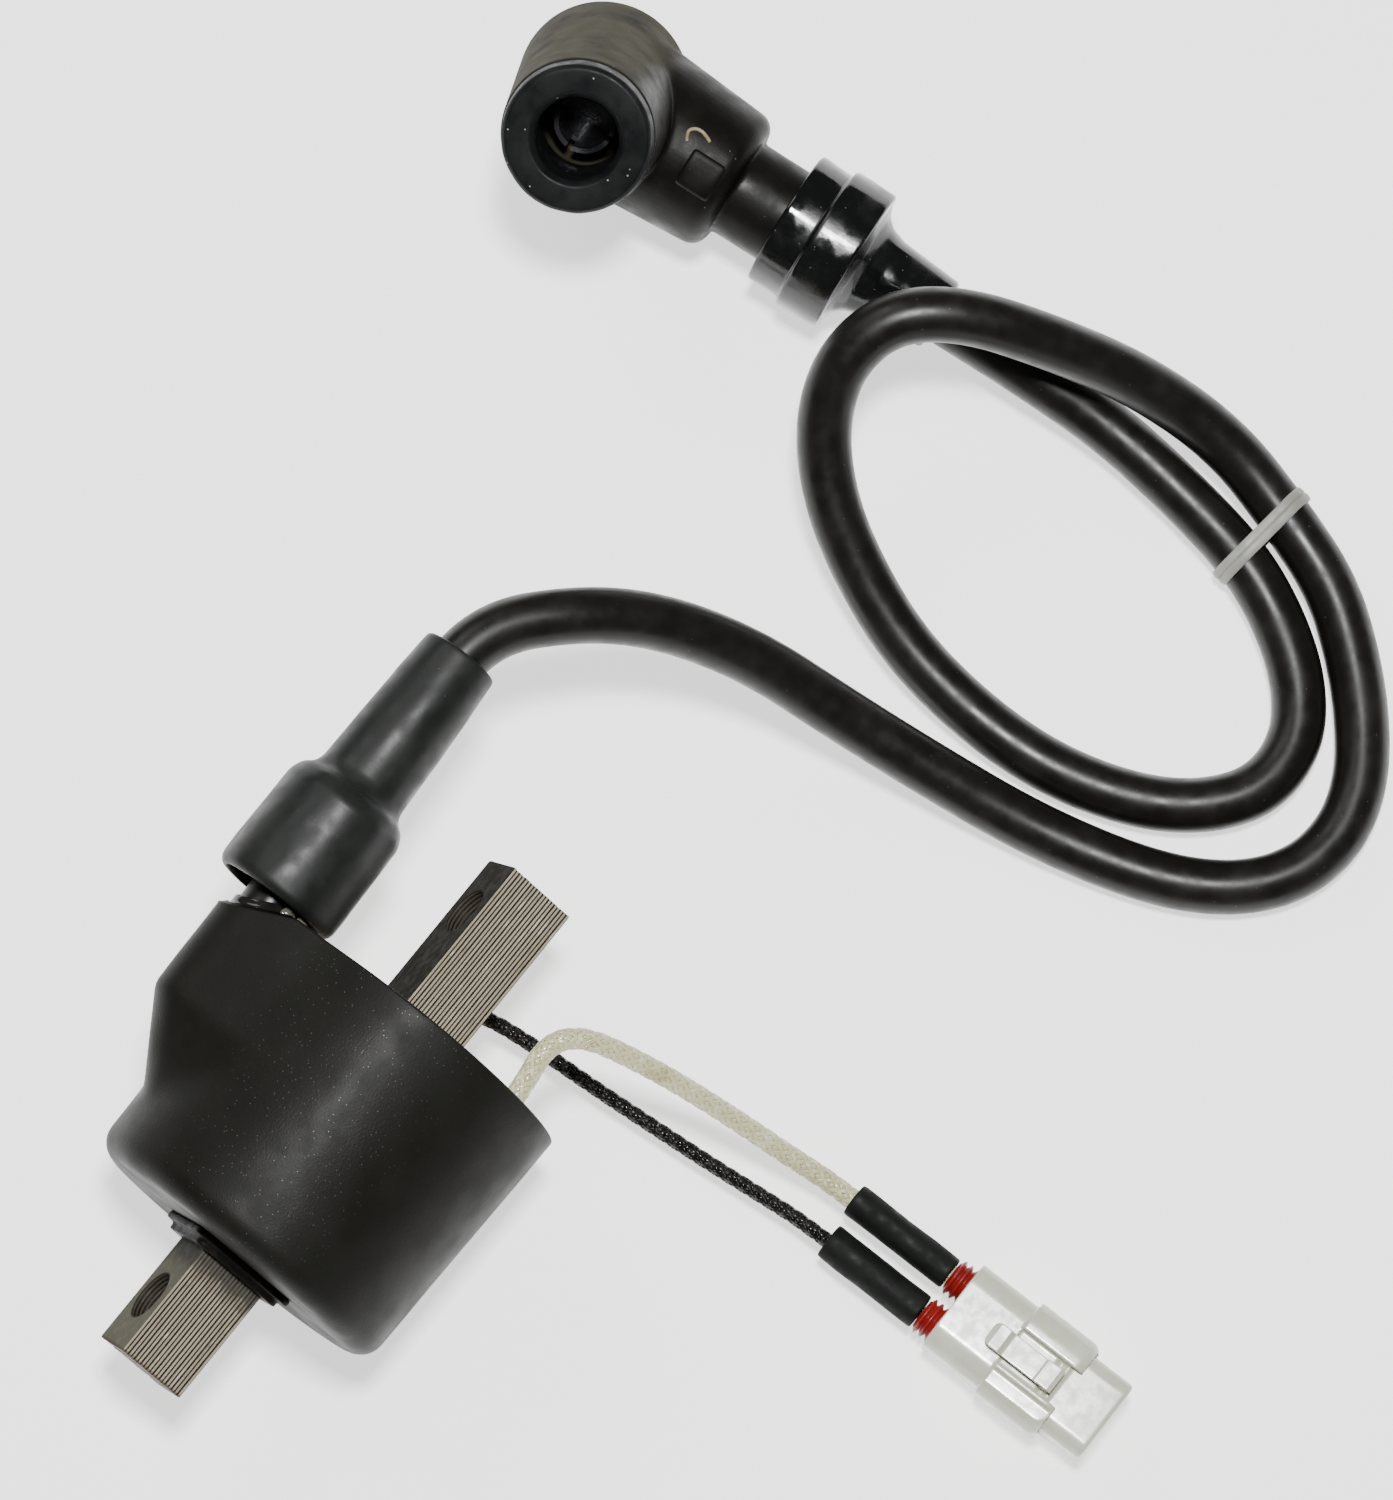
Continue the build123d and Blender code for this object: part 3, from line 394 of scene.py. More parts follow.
looks = {
    "core_steel": steel_finish(),
    "case_plastic": case_finish(),
    "seal_rubber": seal_finish(),
    "bobbin_plastic": plain_finish("bobbin_plastic", (0.62, 0.57, 0.45), 0.5, (0.52, 0.47, 0.36)),
    "copper_wire": plain_finish("copper_wire", (0.42, 0.16, 0.06), 0.34, (0.28, 0.10, 0.04), metallic=0.9),
    # near-black copy of the terminal metal: painted shade for the terminal deep in the cap's bore
    "shaded_terminal": plain_finish("shaded_terminal", (0.018, 0.019, 0.021), 0.12, (0.05, 0.05, 0.055),
                                   1, 0.6, metallic=0.6),
    "terminal_brass": plain_finish("terminal_brass", (0.40, 0.36, 0.27), 0.24, (0.20, 0.17, 0.12),
                                    metallic=0.9),
    "potting_resin": plain_finish("potting_resin", (0.50, 0.41, 0.25), 0.22, (0.33, 0.25, 0.14), 2, 0.4),
    "ht_lead_rubber": lead_finish(),
    "boot_rubber": boot_finish(),
    "tie_plastic": plain_finish("tie_plastic", (0.30, 0.30, 0.27), 0.5, (0.22, 0.22, 0.195), 1, 0.3),
    "cap_moulding": cap_finish(),
    "cap_rubber": cap_rubber_finish(),
    "mouth_rubber": mouth_finish(),
    "resistor_ceramic": plain_finish("resistor_ceramic", (0.68, 0.62, 0.50), 0.2, (0.60, 0.53, 0.42)),
    "spring_steel": plain_finish("spring_steel", (0.50, 0.49, 0.46), 0.28, (0.36, 0.34, 0.31), metallic=1.0),
    "white_sleeving": white_braid_finish(),
    "black_sleeving": black_braid_finish(),
    "shrink_tube": plain_finish("shrink_tube", (0.0070, 0.0080, 0.0070), 0.6, (0.010, 0.0115, 0.0100),
                                 1, 0.3, specular_ior_level=0.12),
    "red_silicone": plain_finish("red_silicone", (0.21, 0.010, 0.009), 0.34, (0.29, 0.016, 0.013), 1, 0.2),
    "connector_nylon": nylon_finish(),
    # pale colour of the mould flash: painted highlight
    "flash_painted_highlight": plain_finish("flash_painted_highlight", (0.30, 0.235, 0.13), 0.5, (0.17, 0.13, 0.07), 0.5),
    # dark glue, also painted shade at the lead's foot under the boot's mouth
    "dark_glue_and_shade": plain_finish("dark_glue_and_shade", (0.008, 0.008, 0.008), 0.10, (0.02, 0.018, 0.015), 1, 0.4),
    "clear_glue": plain_finish("clear_glue", (0.10, 0.095, 0.08), 0.08, (0.16, 0.15, 0.13), 1, 0.3),
}
node_slots = {part["node"]: part["material_slot"] for part in record["subparts"]}
for node, slot in node_slots.items():
    cad_object = frame["nodes"][node]
    cad_object.data.materials.clear()
    # the cap's terminal, deep in the mouth's bore, takes the near-black copy: painted shade
    cad_object.data.materials.append(looks["shaded_terminal" if node == "cap_terminal" else slot])


def pale_floor():
    """Plain white sweep that the coil lies on."""
    bpy.ops.mesh.primitive_plane_add(size=3, location=(0.07, 0, 0))
    floor = bpy.context.object
    floor.name = "floor"
    made = Finish("floor_white", (0.9, 0.9, 0.9), 0.9, emission_strength=1.3)
    made.shader.inputs["Emission Color"].default_value = (1, 1, 1, 1)
    floor.data.materials.append(made.material)


pale_floor()


# ---------------------------------------------------------------- mesh helpers
def mm(*numbers):
    """A point listed in millimetres, in metres."""
    return Vector(numbers) * MM


def add_mesh(name, points, faces, slot, body="root", replaces=(), look=None):
    """Smooth-shaded mesh object with its material, picked by its slot unless a look is given, and its body.
    """
    mesh = bpy.data.meshes.new(name)
    mesh.from_pydata([tuple(p) for p in points], [], faces)
    mesh.update()
    return add_piece(name, mesh, slot, body, replaces, look)


def add_piece(name, data, slot, body="root", replaces=(), look=None):
    """Object of some data with its material, picked by its slot unless a look is given, and its body."""
    piece = bpy.data.objects.new(name, data)
    bpy.context.scene.collection.objects.link(piece)
    data.materials.clear()
    data.materials.append(looks[look or slot])
    if isinstance(data, bpy.types.Mesh):
        for polygon in data.polygons:
            polygon.use_smooth = True
    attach(piece, body)
    if replaces:
        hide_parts(*replaces)
    return piece


def skin(loops, closed=False, caps=True):
    """Points and faces of a tube through loops of equally many points, closed on itself or capped."""
    count = len(loops[0])
    points = [point for loop in loops for point in loop]
    faces = []
    for i in range(len(loops) if closed else len(loops) - 1):
        low, high = i * count, (i + 1) % len(loops) * count
        for j in range(count):
            k = (j + 1) % count
            faces.append((low + j, low + k, high + k, high + j))
    if caps and not closed:
        faces.append(tuple(range(count))[::-1])
        faces.append(tuple((len(loops) - 1) * count + j for j in range(count)))
    return points, faces


def rounded(points, radius, steps=3):
    """A closed outline with its corners cut back by up to a radius and curved."""
    outline = []
    for before, here, after in zip(points[-1:] + points[:-1], points, points[1:] + points[:1]):
        here = Vector(here)
        runs = [Vector(other) - here for other in (before, after)]
        ends = [here + run * min(radius / run.length, 0.45) for run in runs]
        for i in range(steps + 1):
            t = i / steps
            outline.append(ends[0] * (1 - t) ** 2 + here * 2 * t * (1 - t) + ends[1] * t * t)
    return outline


def basis(axis):
    """Two directions across an axis."""
    first = axis.orthogonal().normalized()
    return first, axis.cross(first)


def turned(name, origin, axis, outline, slot, body="root", replaces=(), segments=96, waver=0.0, look=None):
    """A ring turned from a closed outline of (along, radius) in millimetres, slightly uneven if wavered."""
    first, second = basis(axis)
    loops = []
    for i in range(segments):
        angle = 2 * pi * i / segments
        out = first * cos(angle) + second * sin(angle)
        loop = []
        for along, radius in outline:
            point = origin + axis * along * MM + out * radius * MM
            if waver:
                point += out * noise.noise(point / (3 * MM)) * waver * MM
            loop.append(point)
        loops.append(loop)
    points, faces = skin(loops, closed=True)
    return add_mesh(name, points, faces, slot, body, replaces, look)


def apply_modifiers(piece):
    """Turn a piece's modifiers into its mesh."""
    graph = bpy.context.evaluated_depsgraph_get()
    mesh = bpy.data.meshes.new_from_object(piece.evaluated_get(graph))
    piece.modifiers.clear()
    old = piece.data
    piece.data = mesh
    bpy.data.meshes.remove(old)
    for polygon in mesh.polygons:
        polygon.use_smooth = True


def moulded(node, voxel, smooth, slot, body="root", extra=(), look=None):
    """A CAD node's shape as a moulding: corners slightly rounded, extra (points, faces) joined in."""
    source = frame["nodes"][node].data
    points = [v.co.copy() for v in source.vertices]
    faces = [tuple(p.vertices) for p in source.polygons]
    for more_points, more_faces in extra:
        start = len(points)
        points += more_points
        faces += [tuple(i + start for i in face) for face in more_faces]
    piece = add_mesh(node + "_moulded", points, faces, slot, body, (node,), look)
    remesh = piece.modifiers.new("remesh", "REMESH")
    remesh.mode = "VOXEL"
    remesh.voxel_size = voxel * MM
    soften = piece.modifiers.new("soften", "SMOOTH")
    soften.factor = 0.5
    soften.iterations = smooth
    apply_modifiers(piece)
    return piece


def nurbs_route(name, route):
    """Curve object with one smooth spline whose control points are the route's."""
    curve = bpy.data.curves.new(name, "CURVE")
    curve.dimensions = "3D"
    curve.resolution_u = 12
    spline = curve.splines.new("NURBS")
    spline.points.add(len(route) - 1)
    for point, place in zip(spline.points, route):
        point.co = (*place, 1)
    spline.order_u = 3
    spline.use_endpoint_u = True
    return curve


def line_of(curve):
    """Points along a curve that has no bevel."""
    probe = bpy.data.objects.new("probe", curve)
    bpy.context.scene.collection.objects.link(probe)
    graph = bpy.context.evaluated_depsgraph_get()
    mesh = bpy.data.meshes.new_from_object(probe.evaluated_get(graph))
    line = [v.co.copy() for v in mesh.vertices]
    bpy.data.objects.remove(probe)
    bpy.data.meshes.remove(mesh)
    return line


def spaced(line, step):
    """A line's points at equal steps, each with its direction and two directions across that don't twist."""
    points = [line[0]]
    rest = step
    for start, end in zip(line, line[1:]):
        length = (end - start).length
        while length >= rest and length > 0:
            start = start.lerp(end, rest / length)
            length -= rest
            points.append(start.copy())
            rest = step
        rest -= length
    points.append(line[-1])
    stations = []
    across = None
    for before, here, after in zip(points[:1] + points, points, points[1:] + points[-1:]):
        ahead = (after - before).normalized()
        across = ahead.orthogonal() if across is None else across - ahead * across.dot(ahead)
        across.normalize()
        stations.append((here, ahead, across.copy(), ahead.cross(across)))
    return stations


def braid(line, diameter, strands, turn, yarn_wide, yarn_thick):
    """Points and faces of an under-tube and of yarns that cross over and under each other round it."""
    step = 0.16 * MM
    stations = spaced(line, step)
    radius = diameter / 2 - yarn_thick * 0.55
    parts = []
    under = []
    for here, ahead, first, second in stations[::3]:
        ring = [first * cos(2 * pi * i / 20) + second * sin(2 * pi * i / 20) for i in range(20)]
        under.append([here + out * (radius - yarn_thick * 0.4) for out in ring])
    parts.append(skin(under))
    for way in (1, -1):
        for strand in range(strands):
            loops = []
            for i, (here, ahead, first, second) in enumerate(stations):
                turned_by = i * step / turn
                angle = 2 * pi * (way * turned_by + strand / strands)
                over = way * sin(pi * (2 * strands * turned_by + strand + 0.5))
                out = first * cos(angle) + second * sin(angle)
                side = ahead.cross(out)
                run = (ahead * turn + side * way * 2 * pi * radius).normalized()
                wide = run.cross(out)
                centre = here + out * (radius + over * yarn_thick * 0.42)
                ring = []
                for k in range(6):
                    around = 2 * pi * k / 6
                    beside = wide * cos(around) * yarn_wide / 2
                    ring.append(centre + beside + out * sin(around) * yarn_thick / 2)
                loops.append(ring)
            parts.append(skin(loops))
    points, faces = [], []
    for more_points, more_faces in parts:
        start = len(points)
        points += more_points
        faces += [tuple(i + start for i in face) for face in more_faces]
    return points, faces


# ---------------------------------------------------------------- iron core


def core_sheets():
    """Nineteen punched sheets, each a little out of line with the next."""
    parts = []
    for i in range(SHEETS):
        curve = bpy.data.curves.new("sheet", "CURVE")
        curve.dimensions = "2D"
        curve.fill_mode = "BOTH"
        curve.bevel_depth = 0.05 * MM
        curve.bevel_resolution = 1
        curve.extrude = (SHEET_THICK / 2 - 0.05) * MM
        uneven = noise.noise(Vector((i * 3.7, 0.5, 0)))
        half_long = CORE_HALF - 0.10 - 0.12 * abs(uneven)
        half_wide = CORE_SIDE / 2 - 0.06 - 0.07 * (i % 2)
        corners = [(half_long, half_wide), (-half_long, half_wide),
                   (-half_long, -half_wide), (half_long, -half_wide)]
        outlines = [rounded(corners, 0.35)]
        for side in (-1, 1):
            hole = [(side * hole_x / MM + cos(2 * pi * k / 40) * (hole_r / MM + 0.04 + 0.04 * (i % 2)),
                     sin(2 * pi * k / 40) * (hole_r / MM + 0.04 + 0.04 * (i % 2))) for k in range(40)]
            outlines.append(hole)
        for outline in outlines:
            spline = curve.splines.new("POLY")
            spline.points.add(len(outline) - 1)
            for point, (x, y) in zip(spline.points, outline):
                point.co = (x * MM, y * MM, 0, 1)
            spline.use_cyclic_u = True
        holder = bpy.data.objects.new("sheet", curve)
        bpy.context.scene.collection.objects.link(holder)
        graph = bpy.context.evaluated_depsgraph_get()
        mesh = bpy.data.meshes.new_from_object(holder.evaluated_get(graph))
        bpy.data.objects.remove(holder)
        level = (i - (SHEETS - 1) / 2) * SHEET_PITCH * MM
        points = []
        for v in mesh.vertices:
            points.append(core_centre + ALONG * v.co.x - edge_dir * v.co.y + bolt_dir * (level + v.co.z))
        parts.append((points, [tuple(p.vertices) for p in mesh.polygons]))
        bpy.data.meshes.remove(mesh)
    points, faces = [], []
    for more_points, more_faces in parts:
        start = len(points)
        points += more_points
        faces += [tuple(k + start for k in face) for face in more_faces]
    piece = add_mesh("core_sheets", points, faces, "core_steel", replaces=("core_laminations",))
    for polygon in piece.data.polygons:
        polygon.use_smooth = False


core_sheets()


# ---------------------------------------------------------------- case
CASE_BACK = -20.25
CASE_RIM = 14.8
CASE_BACK_R = 20.9
CASE_RIM_R = 21.7
CASE_ROUND = 3.0
CASE_WALL = 2.1
CASE_FLOOR = 2.2
SEAL_NECK = 12.0
TOWER_R = 24.35
TOWER_SLOPE = 0.031
BOSS_R = 5.1
BOSS_BORE_R = 4.1
BOSS_LOW = -1.1
BOSS_END = -14.0
BOSS_CUT_FROM = 23.0
BOSS_CUT_SLOPE = 0.55
CASE_STEPS = 240


def blended(first, second, room):
    """The larger of two numbers, with a soft change from one to the other."""
    near = max(room - abs(first - second), 0)
    return max(first, second) + near * near / (4 * room)


def hull_radius(angle, large, small, reach):
    """Radius of the tight outline round a circle at the middle and a smaller one at a reach."""
    angle = abs(atan2(sin(angle), cos(angle)))
    lean = acos(min((large - small) / reach, 1)) if reach > large - small else 0
    touch = atan2(small * sin(lean), reach + small * cos(lean))
    if angle < touch:
        return reach * cos(angle) + sqrt(max(small**2 - (reach * sin(angle)) ** 2, 0))
    if angle < lean:
        return large / cos(angle - lean)
    return large


def boss_reach(x):
    """Distance from the core's axis to the boss's middle, and the hull's large circle, at a place along."""
    if x > BOSS_LOW:
        return TOWER_R + TOWER_SLOPE * (x - CASE_RIM), CASE_RIM_R - 1.0
    share = max((x - BOSS_END) / (BOSS_LOW - BOSS_END), 0)
    low = CASE_RIM_R - 1.7 - BOSS_R
    high = TOWER_R + TOWER_SLOPE * (BOSS_LOW - CASE_RIM)
    return low + (high - low) * share, CASE_RIM_R - 1.8 + 0.6 * share


def outer_radius(x, angle):
    """The case's outer radius, boss and all."""
    round_r = CASE_BACK_R + (CASE_RIM_R - CASE_BACK_R) * (x - CASE_BACK) / (CASE_RIM - CASE_BACK)
    total = 0.0
    spread = (-0.6, -0.3, 0, 0.3, 0.6)
    for shift in spread:
        reach, large = boss_reach(x + shift)
        total += hull_radius(angle, min(large, round_r - 0.4), BOSS_R, reach)
    return blended(round_r, total / len(spread), 1.0)


def inner_radius(angle):
    """The case's inner radius at its open end."""
    round_r = CASE_RIM_R - CASE_WALL
    return blended(round_r, hull_radius(angle, round_r - 1, BOSS_BORE_R, TOWER_R), 0.6)


def rim_height(angle, radius):
    """Where the rim lies: it slopes down where it goes out over the boss."""
    return CASE_RIM - BOSS_CUT_SLOPE * max(radius * cos(angle) - BOSS_CUT_FROM, 0)


def square_radius(angle, side, corner):
    """Radius of a square with rounded corners."""
    half = side / 2
    angle = abs((angle + pi / 4) % (pi / 2) - pi / 4)
    flat = half / cos(angle)
    middle = (half - corner) * sqrt(2)
    turn = pi / 4 - angle
    inside = corner**2 - (middle * sin(turn)) ** 2
    if half * sin(angle) / cos(angle) > half - corner and inside > 0:
        return middle * cos(turn) + sqrt(inside)
    return flat


def case_loop(angle):
    """The case's section at an angle, as a closed loop of (along, radius)."""
    neck = square_radius(angle, SEAL_NECK + 0.06, 1.0)
    loop = [(CASE_BACK + CASE_FLOOR, neck), (CASE_BACK + 0.2, neck), (CASE_BACK + 0.04, neck + 0.1)]
    flat_end = CASE_BACK_R - CASE_ROUND
    for i in range(1, 6):
        loop.append((CASE_BACK, neck + 0.2 + (flat_end - neck - 0.2) * i / 5))
    for i in range(1, 9):
        turn = pi / 2 * i / 8
        side = outer_radius(CASE_BACK + CASE_ROUND * (1 - cos(turn)), angle)
        loop.append((CASE_BACK + CASE_ROUND * (1 - cos(turn)), flat_end + (side - flat_end) * sin(turn)))
    rim_out = outer_radius(CASE_RIM, angle)
    top = rim_height(angle, rim_out)
    start = CASE_BACK + CASE_ROUND
    for i in range(1, 45):
        x = start + (top - 0.3 - start) * i / 44
        loop.append((x, outer_radius(x, angle)))
    loop.append((top - 0.09, rim_out - 0.05))
    loop.append((top, rim_out - 0.22))
    inner = inner_radius(angle)
    top_in = rim_height(angle, inner)
    loop.append((top_in, inner + 0.25))
    loop.append((top_in - 0.08, inner + 0.06))
    loop.append((top_in - 0.3, inner))
    loop.append((2.0, inner))
    loop.append((1.9, CASE_RIM_R - CASE_WALL - 0.3))
    loop.append((CASE_BACK + CASE_FLOOR, CASE_BACK_R - CASE_WALL))
    return loop


def case_shell():
    """One smooth shell: round side, boss for the lead, rolled closed end and thin open rim."""
    loops = []
    for i in range(CASE_STEPS):
        angle = 2 * pi * i / CASE_STEPS
        out = bolt_dir * cos(angle) + edge_dir * sin(angle)
        loop = []
        for along, radius in case_loop(angle):
            point = core_centre + ALONG * along * MM + out * radius * MM
            loop.append(point + out * noise.noise(point / (7 * MM)) * 0.05 * MM)
        loops.append(loop)
    points, faces = skin(loops, closed=True)
    add_mesh("case_shell", points, faces, "case_plastic", replaces=("coil_case",))


case_shell()
moulded("core_seal", 0.18, 3, "seal_rubber")

# ---------------------------------------------------------------- potting
POTTING_DROP = 0.8
POTTING_LOW = 8.4
WHITE_EXIT = mm(14.5, -18.4, 28.8)
WIRE_ROOM = 2.6


def potting_height(out, radius, wall):
    """Height of the cast resin: it creeps up the wall, and up the white lead."""
    angle_cos = out.dot(bolt_dir)
    level = CASE_RIM - POTTING_DROP - BOSS_CUT_SLOPE * max(radius * angle_cos - BOSS_CUT_FROM, 0)
    point = core_centre + mm(level, 0, 0) + out * radius * MM
    creep = 0.5 * max(1 - (wall - radius) / 1.4, 0) ** 2
    beside_wire = max(1 - ((point - WHITE_EXIT) / MM).length / WIRE_ROOM, 0)
    return level + creep + 2.4 * beside_wire**1.5 + 0.12 * noise.noise(point / (4 * MM))


def potting_fill():
    """Cast resin that closes the case, with the core and the leads coming out of it."""
    loops = []
    for i in range(CASE_STEPS):
        angle = 2 * pi * i / CASE_STEPS
        out = bolt_dir * cos(angle) + edge_dir * sin(angle)
        wall = inner_radius(angle) - 0.03
        core = square_radius(angle, CORE_SIDE + 0.04, 0.2)
        loop = [core_centre + mm(POTTING_LOW, 0, 0) + out * core * MM]
        for k in range(25):
            radius = core + (wall - core) * k / 24
            loop.append(core_centre + mm(potting_height(out, radius, wall), 0, 0) + out * radius * MM)
        loop.append(core_centre + mm(POTTING_LOW, 0, 0) + out * wall * MM)
        loops.append(loop)
    points, faces = skin(loops, closed=True)
    return add_mesh("potting_fill", points, faces, "potting_resin")


potting_fill()


# ---------------------------------------------------------------- high-tension lead
def on_tower(x):
    """Point on the lead's axis where it leaves the case."""
    reach = TOWER_R + TOWER_SLOPE * (x - CASE_RIM)
    return core_centre + mm(x, 0, 0) + bolt_dir * reach * MM


def on_arm(distance):
    """Point on the plug cap arm's axis."""
    return elbow + arm_dir * distance * MM


LEAD_D = 7.0
LEAD_START = 4.0
LEAD_END_AT = 24.5
ht_route = [
    on_tower(LEAD_START),
    on_tower(46.0),
    on_tower(57.5),
    mm(67.0, 12.4, 31.3),
    mm(73.3, 4.7, 26.4),
    mm(78.0, -5.6, 19.6),
    mm(80.3, -17.0, 12.8),
    mm(82.5, -29.2, 8.0),
    mm(85.2, -44.5, 4.3),
    mm(89.2, -59.2, 3.7),
    mm(94.2, -68.6, 3.6),
    mm(100.9, -74.3, 3.6),
    mm(108.5, -75.8, 3.6),
    mm(115.5, -73.9, 3.6),
    mm(121.9, -69.6, 3.6),
    mm(128.2, -63.4, 3.8),
    mm(134.1, -55.5, 4.3),
    mm(137.6, -45.6, 4.8),
    mm(140.4, -33.4, 7.4),
    mm(138.0, -20.7, 14.0),
    mm(132.8, -9.4, 21.0),
    mm(127.8, 0.4, 25.4),
    mm(121.9, 7.2, 25.6),
    mm(114.2, 9.2, 22.4),
    mm(107.2, 6.6, 17.4),
    mm(101.2, 0.2, 12.8),
    mm(96.9, -8.3, 8.9),
    mm(93.5, -18.6, 5.8),
    mm(92.3, -30.9, 4.2),
    mm(93.0, -42.0, 3.8),
    mm(96.2, -52.4, 3.6),
    mm(100.8, -59.7, 3.6),
    mm(107.4, -64.5, 3.6),
    mm(115.2, -64.2, 3.6),
    mm(121.4, -59.9, 3.7),
    mm(126.3, -53.1, 4.1),
    mm(130.0, -44.6, 4.6),
    mm(132.0, -32.7, 4.9),
    mm(133.0, -20.5, 5.8),
    on_arm(65.4),
    on_arm(54.6),
    on_arm(LEAD_END_AT),
]
ht_curve = nurbs_route("ht_lead_sheath", ht_route)
ht_line = line_of(ht_curve)
ht_curve.bevel_depth = LEAD_D / 2 * MM
ht_curve.bevel_resolution = 12
ht_curve.use_fill_caps = True
ht_lead = add_piece("ht_lead_sheath", ht_curve, "ht_lead_rubber", replaces=("ht_lead",))

# boot over the lead
BOOT_X = 15.4
BOOT_LEN = 37.6
COLLAR_LEN = 16.4
COLLAR_R = 8.3
COLLAR_BORE = 7.0
COLLAR_DEEP = 14.5
boot_outline = [
    (0, COLLAR_BORE), (0.1, COLLAR_R - 0.5), (0.9, COLLAR_R), (4, COLLAR_R + 0.05), (9, COLLAR_R),
    (COLLAR_LEN - 2.4, COLLAR_R - 0.12), (COLLAR_LEN - 0.7, COLLAR_R - 0.8), (COLLAR_LEN + 0.2, 6.35),
    (COLLAR_LEN + 1.4, 5.95), (COLLAR_LEN + 8, 5.7), (COLLAR_LEN + 15, 5.35), (BOOT_LEN - 0.3, 5.0),
    (BOOT_LEN, 4.75), (BOOT_LEN - 0.1, LEAD_D / 2 + 0.3), (COLLAR_DEEP, LEAD_D / 2 + 0.3),
    (COLLAR_DEEP, COLLAR_BORE - 0.9), (COLLAR_DEEP - 1.2, COLLAR_BORE),
]
boot = turned("boot_sleeve", on_tower(BOOT_X), tower_dir, rounded(boot_outline, 0.6, 4), "boot_rubber",
              "boot", ("tower_boot",), 128, 0.12)


def glue_drop(name, centre, sizes, look, slot):
    """A small uneven drop of glue."""
    first, second = basis(ALONG)
    loops = []
    for i in range(1, 12):
        lean = pi * i / 12
        ring = []
        for k in range(24):
            turn = 2 * pi * k / 24
            way = Vector((cos(lean), sin(lean) * cos(turn), sin(lean) * sin(turn)))
            swell = 1 + 0.35 * noise.noise(way * 1.7 + centre / MM)
            ring.append(centre + (ALONG * way.x * sizes[0] + first * way.y * sizes[1]
                                  + second * way.z * sizes[2]) * swell * MM)
        loops.append(ring)
    points, faces = skin(loops)
    return add_mesh(name, points, faces, slot, look=look)


glue_axis = (ALONG + bolt_dir * BOSS_CUT_SLOPE).normalized()
foot_outline = [(-1.6, 3.45), (-1.6, 4.7), (0.15, 4.72), (0.35, 4.4), (0.7, 3.9), (1.5, 3.6), (1.5, 3.45)]
# dark glue round the lead's foot, also painted shade under the boot's mouth
turned("lead_foot_glue_and_shade", on_tower(13.6), glue_axis, rounded(foot_outline, 0.3, 4), "potting_resin",
       segments=72, waver=0.35, look="dark_glue_and_shade")
glue_drop("glue_drop_front", on_tower(14.6) + mm(0.1, -3.2, 3.4), (0.9, 1.1, 0.7),
          "clear_glue", "potting_resin")
glue_drop("glue_drop_side", on_tower(14.9) + mm(0.2, -4.9, 2.2), (0.6, 0.9, 0.6),
          "clear_glue", "potting_resin")

# tie round the loop's two strands
TIE_OUTER = mm(137.6, -45.0, 5.1)
TIE_INNER = mm(129.8, -44.0, 4.6)
TIE_W = 2.3
TIE_THICK = 0.4


def lead_band():
    """Grey band round both strands: it bows out a little and has a seam along its middle."""
    ends = [min(ht_line, key=lambda p: (p - near).length) for near in (TIE_INNER, TIE_OUTER)]
    run = ends[1] - ends[0]
    width_dir = (Vector((0.26, 0.96, 0.09)) - run * run.dot(Vector((0.26, 0.96, 0.09))) / run.length_squared)
    width_dir.normalize()
    run.normalize()
    out_dir = width_dir.cross(run)
    section = [(-TIE_W / 2, 0.0), (-TIE_W / 2, TIE_THICK * 0.8), (-TIE_W * 0.28, TIE_THICK * 1.15),
               (-0.12, TIE_THICK * 1.2), (0.0, TIE_THICK * 0.7), (0.12, TIE_THICK * 1.2),
               (TIE_W * 0.28, TIE_THICK * 1.15), (TIE_W / 2, TIE_THICK * 0.8), (TIE_W / 2, 0.0)]
    section = rounded(section, 0.12, 2)
    around = []
    for end, start_angle in ((ends[1], -pi / 2), (ends[0], pi / 2)):
        for i in range(33):
            angle = start_angle + pi * i / 32
            around.append((end, run * cos(angle) + out_dir * sin(angle)))
    loops = []
    for i, (end, out) in enumerate(around):
        sway = noise.noise(Vector((i * 0.12, 0, 3))) * 0.12
        loops.append([end + out * (LEAD_D / 2 + 0.06 + high) * MM + width_dir * (wide + sway) * MM
                      for wide, high in section])
    points, faces = skin(loops, closed=True)
    return add_mesh("lead_band", points, faces, "tie_plastic", replaces=("lead_tie",))


tie = lead_band()

# ---------------------------------------------------------------- plug cap
BARREL_FRONT = 25.0
MOUTH_LEN = 27.5
MOUTH_R = 9.35
MOUTH_BORE = 5.2
SLEEVE_DEEP = 16.9
SLEEVE_OUT = 6.6
NECK_R = 6.5
NECK_LEN = 37.5
TWIST_GAP = 0.06
cap = moulded("cap_body", 0.28, 6, "cap_moulding", "plug_cap")
mouth_outline = [
    (SLEEVE_DEEP + 0.05, MOUTH_BORE), (SLEEVE_DEEP + 0.05, SLEEVE_OUT), (BARREL_FRONT + 0.02, SLEEVE_OUT),
    (BARREL_FRONT + 0.02, MOUTH_R + 0.2), (BARREL_FRONT + 0.6, MOUTH_R + 0.15), (MOUTH_LEN - 0.5, MOUTH_R),
    (MOUTH_LEN, MOUTH_R - 0.5), (MOUTH_LEN + 0.02, MOUTH_R - 1.6), (MOUTH_LEN, MOUTH_BORE + 0.7),
    (MOUTH_LEN - 0.9, MOUTH_BORE),
]
mouth = turned("mouth_lip", elbow, mouth_dir, rounded(mouth_outline, 0.25, 4), "cap_rubber", "plug_cap",
               ("cap_mouth_seal",), 128, 0.06, "mouth_rubber")
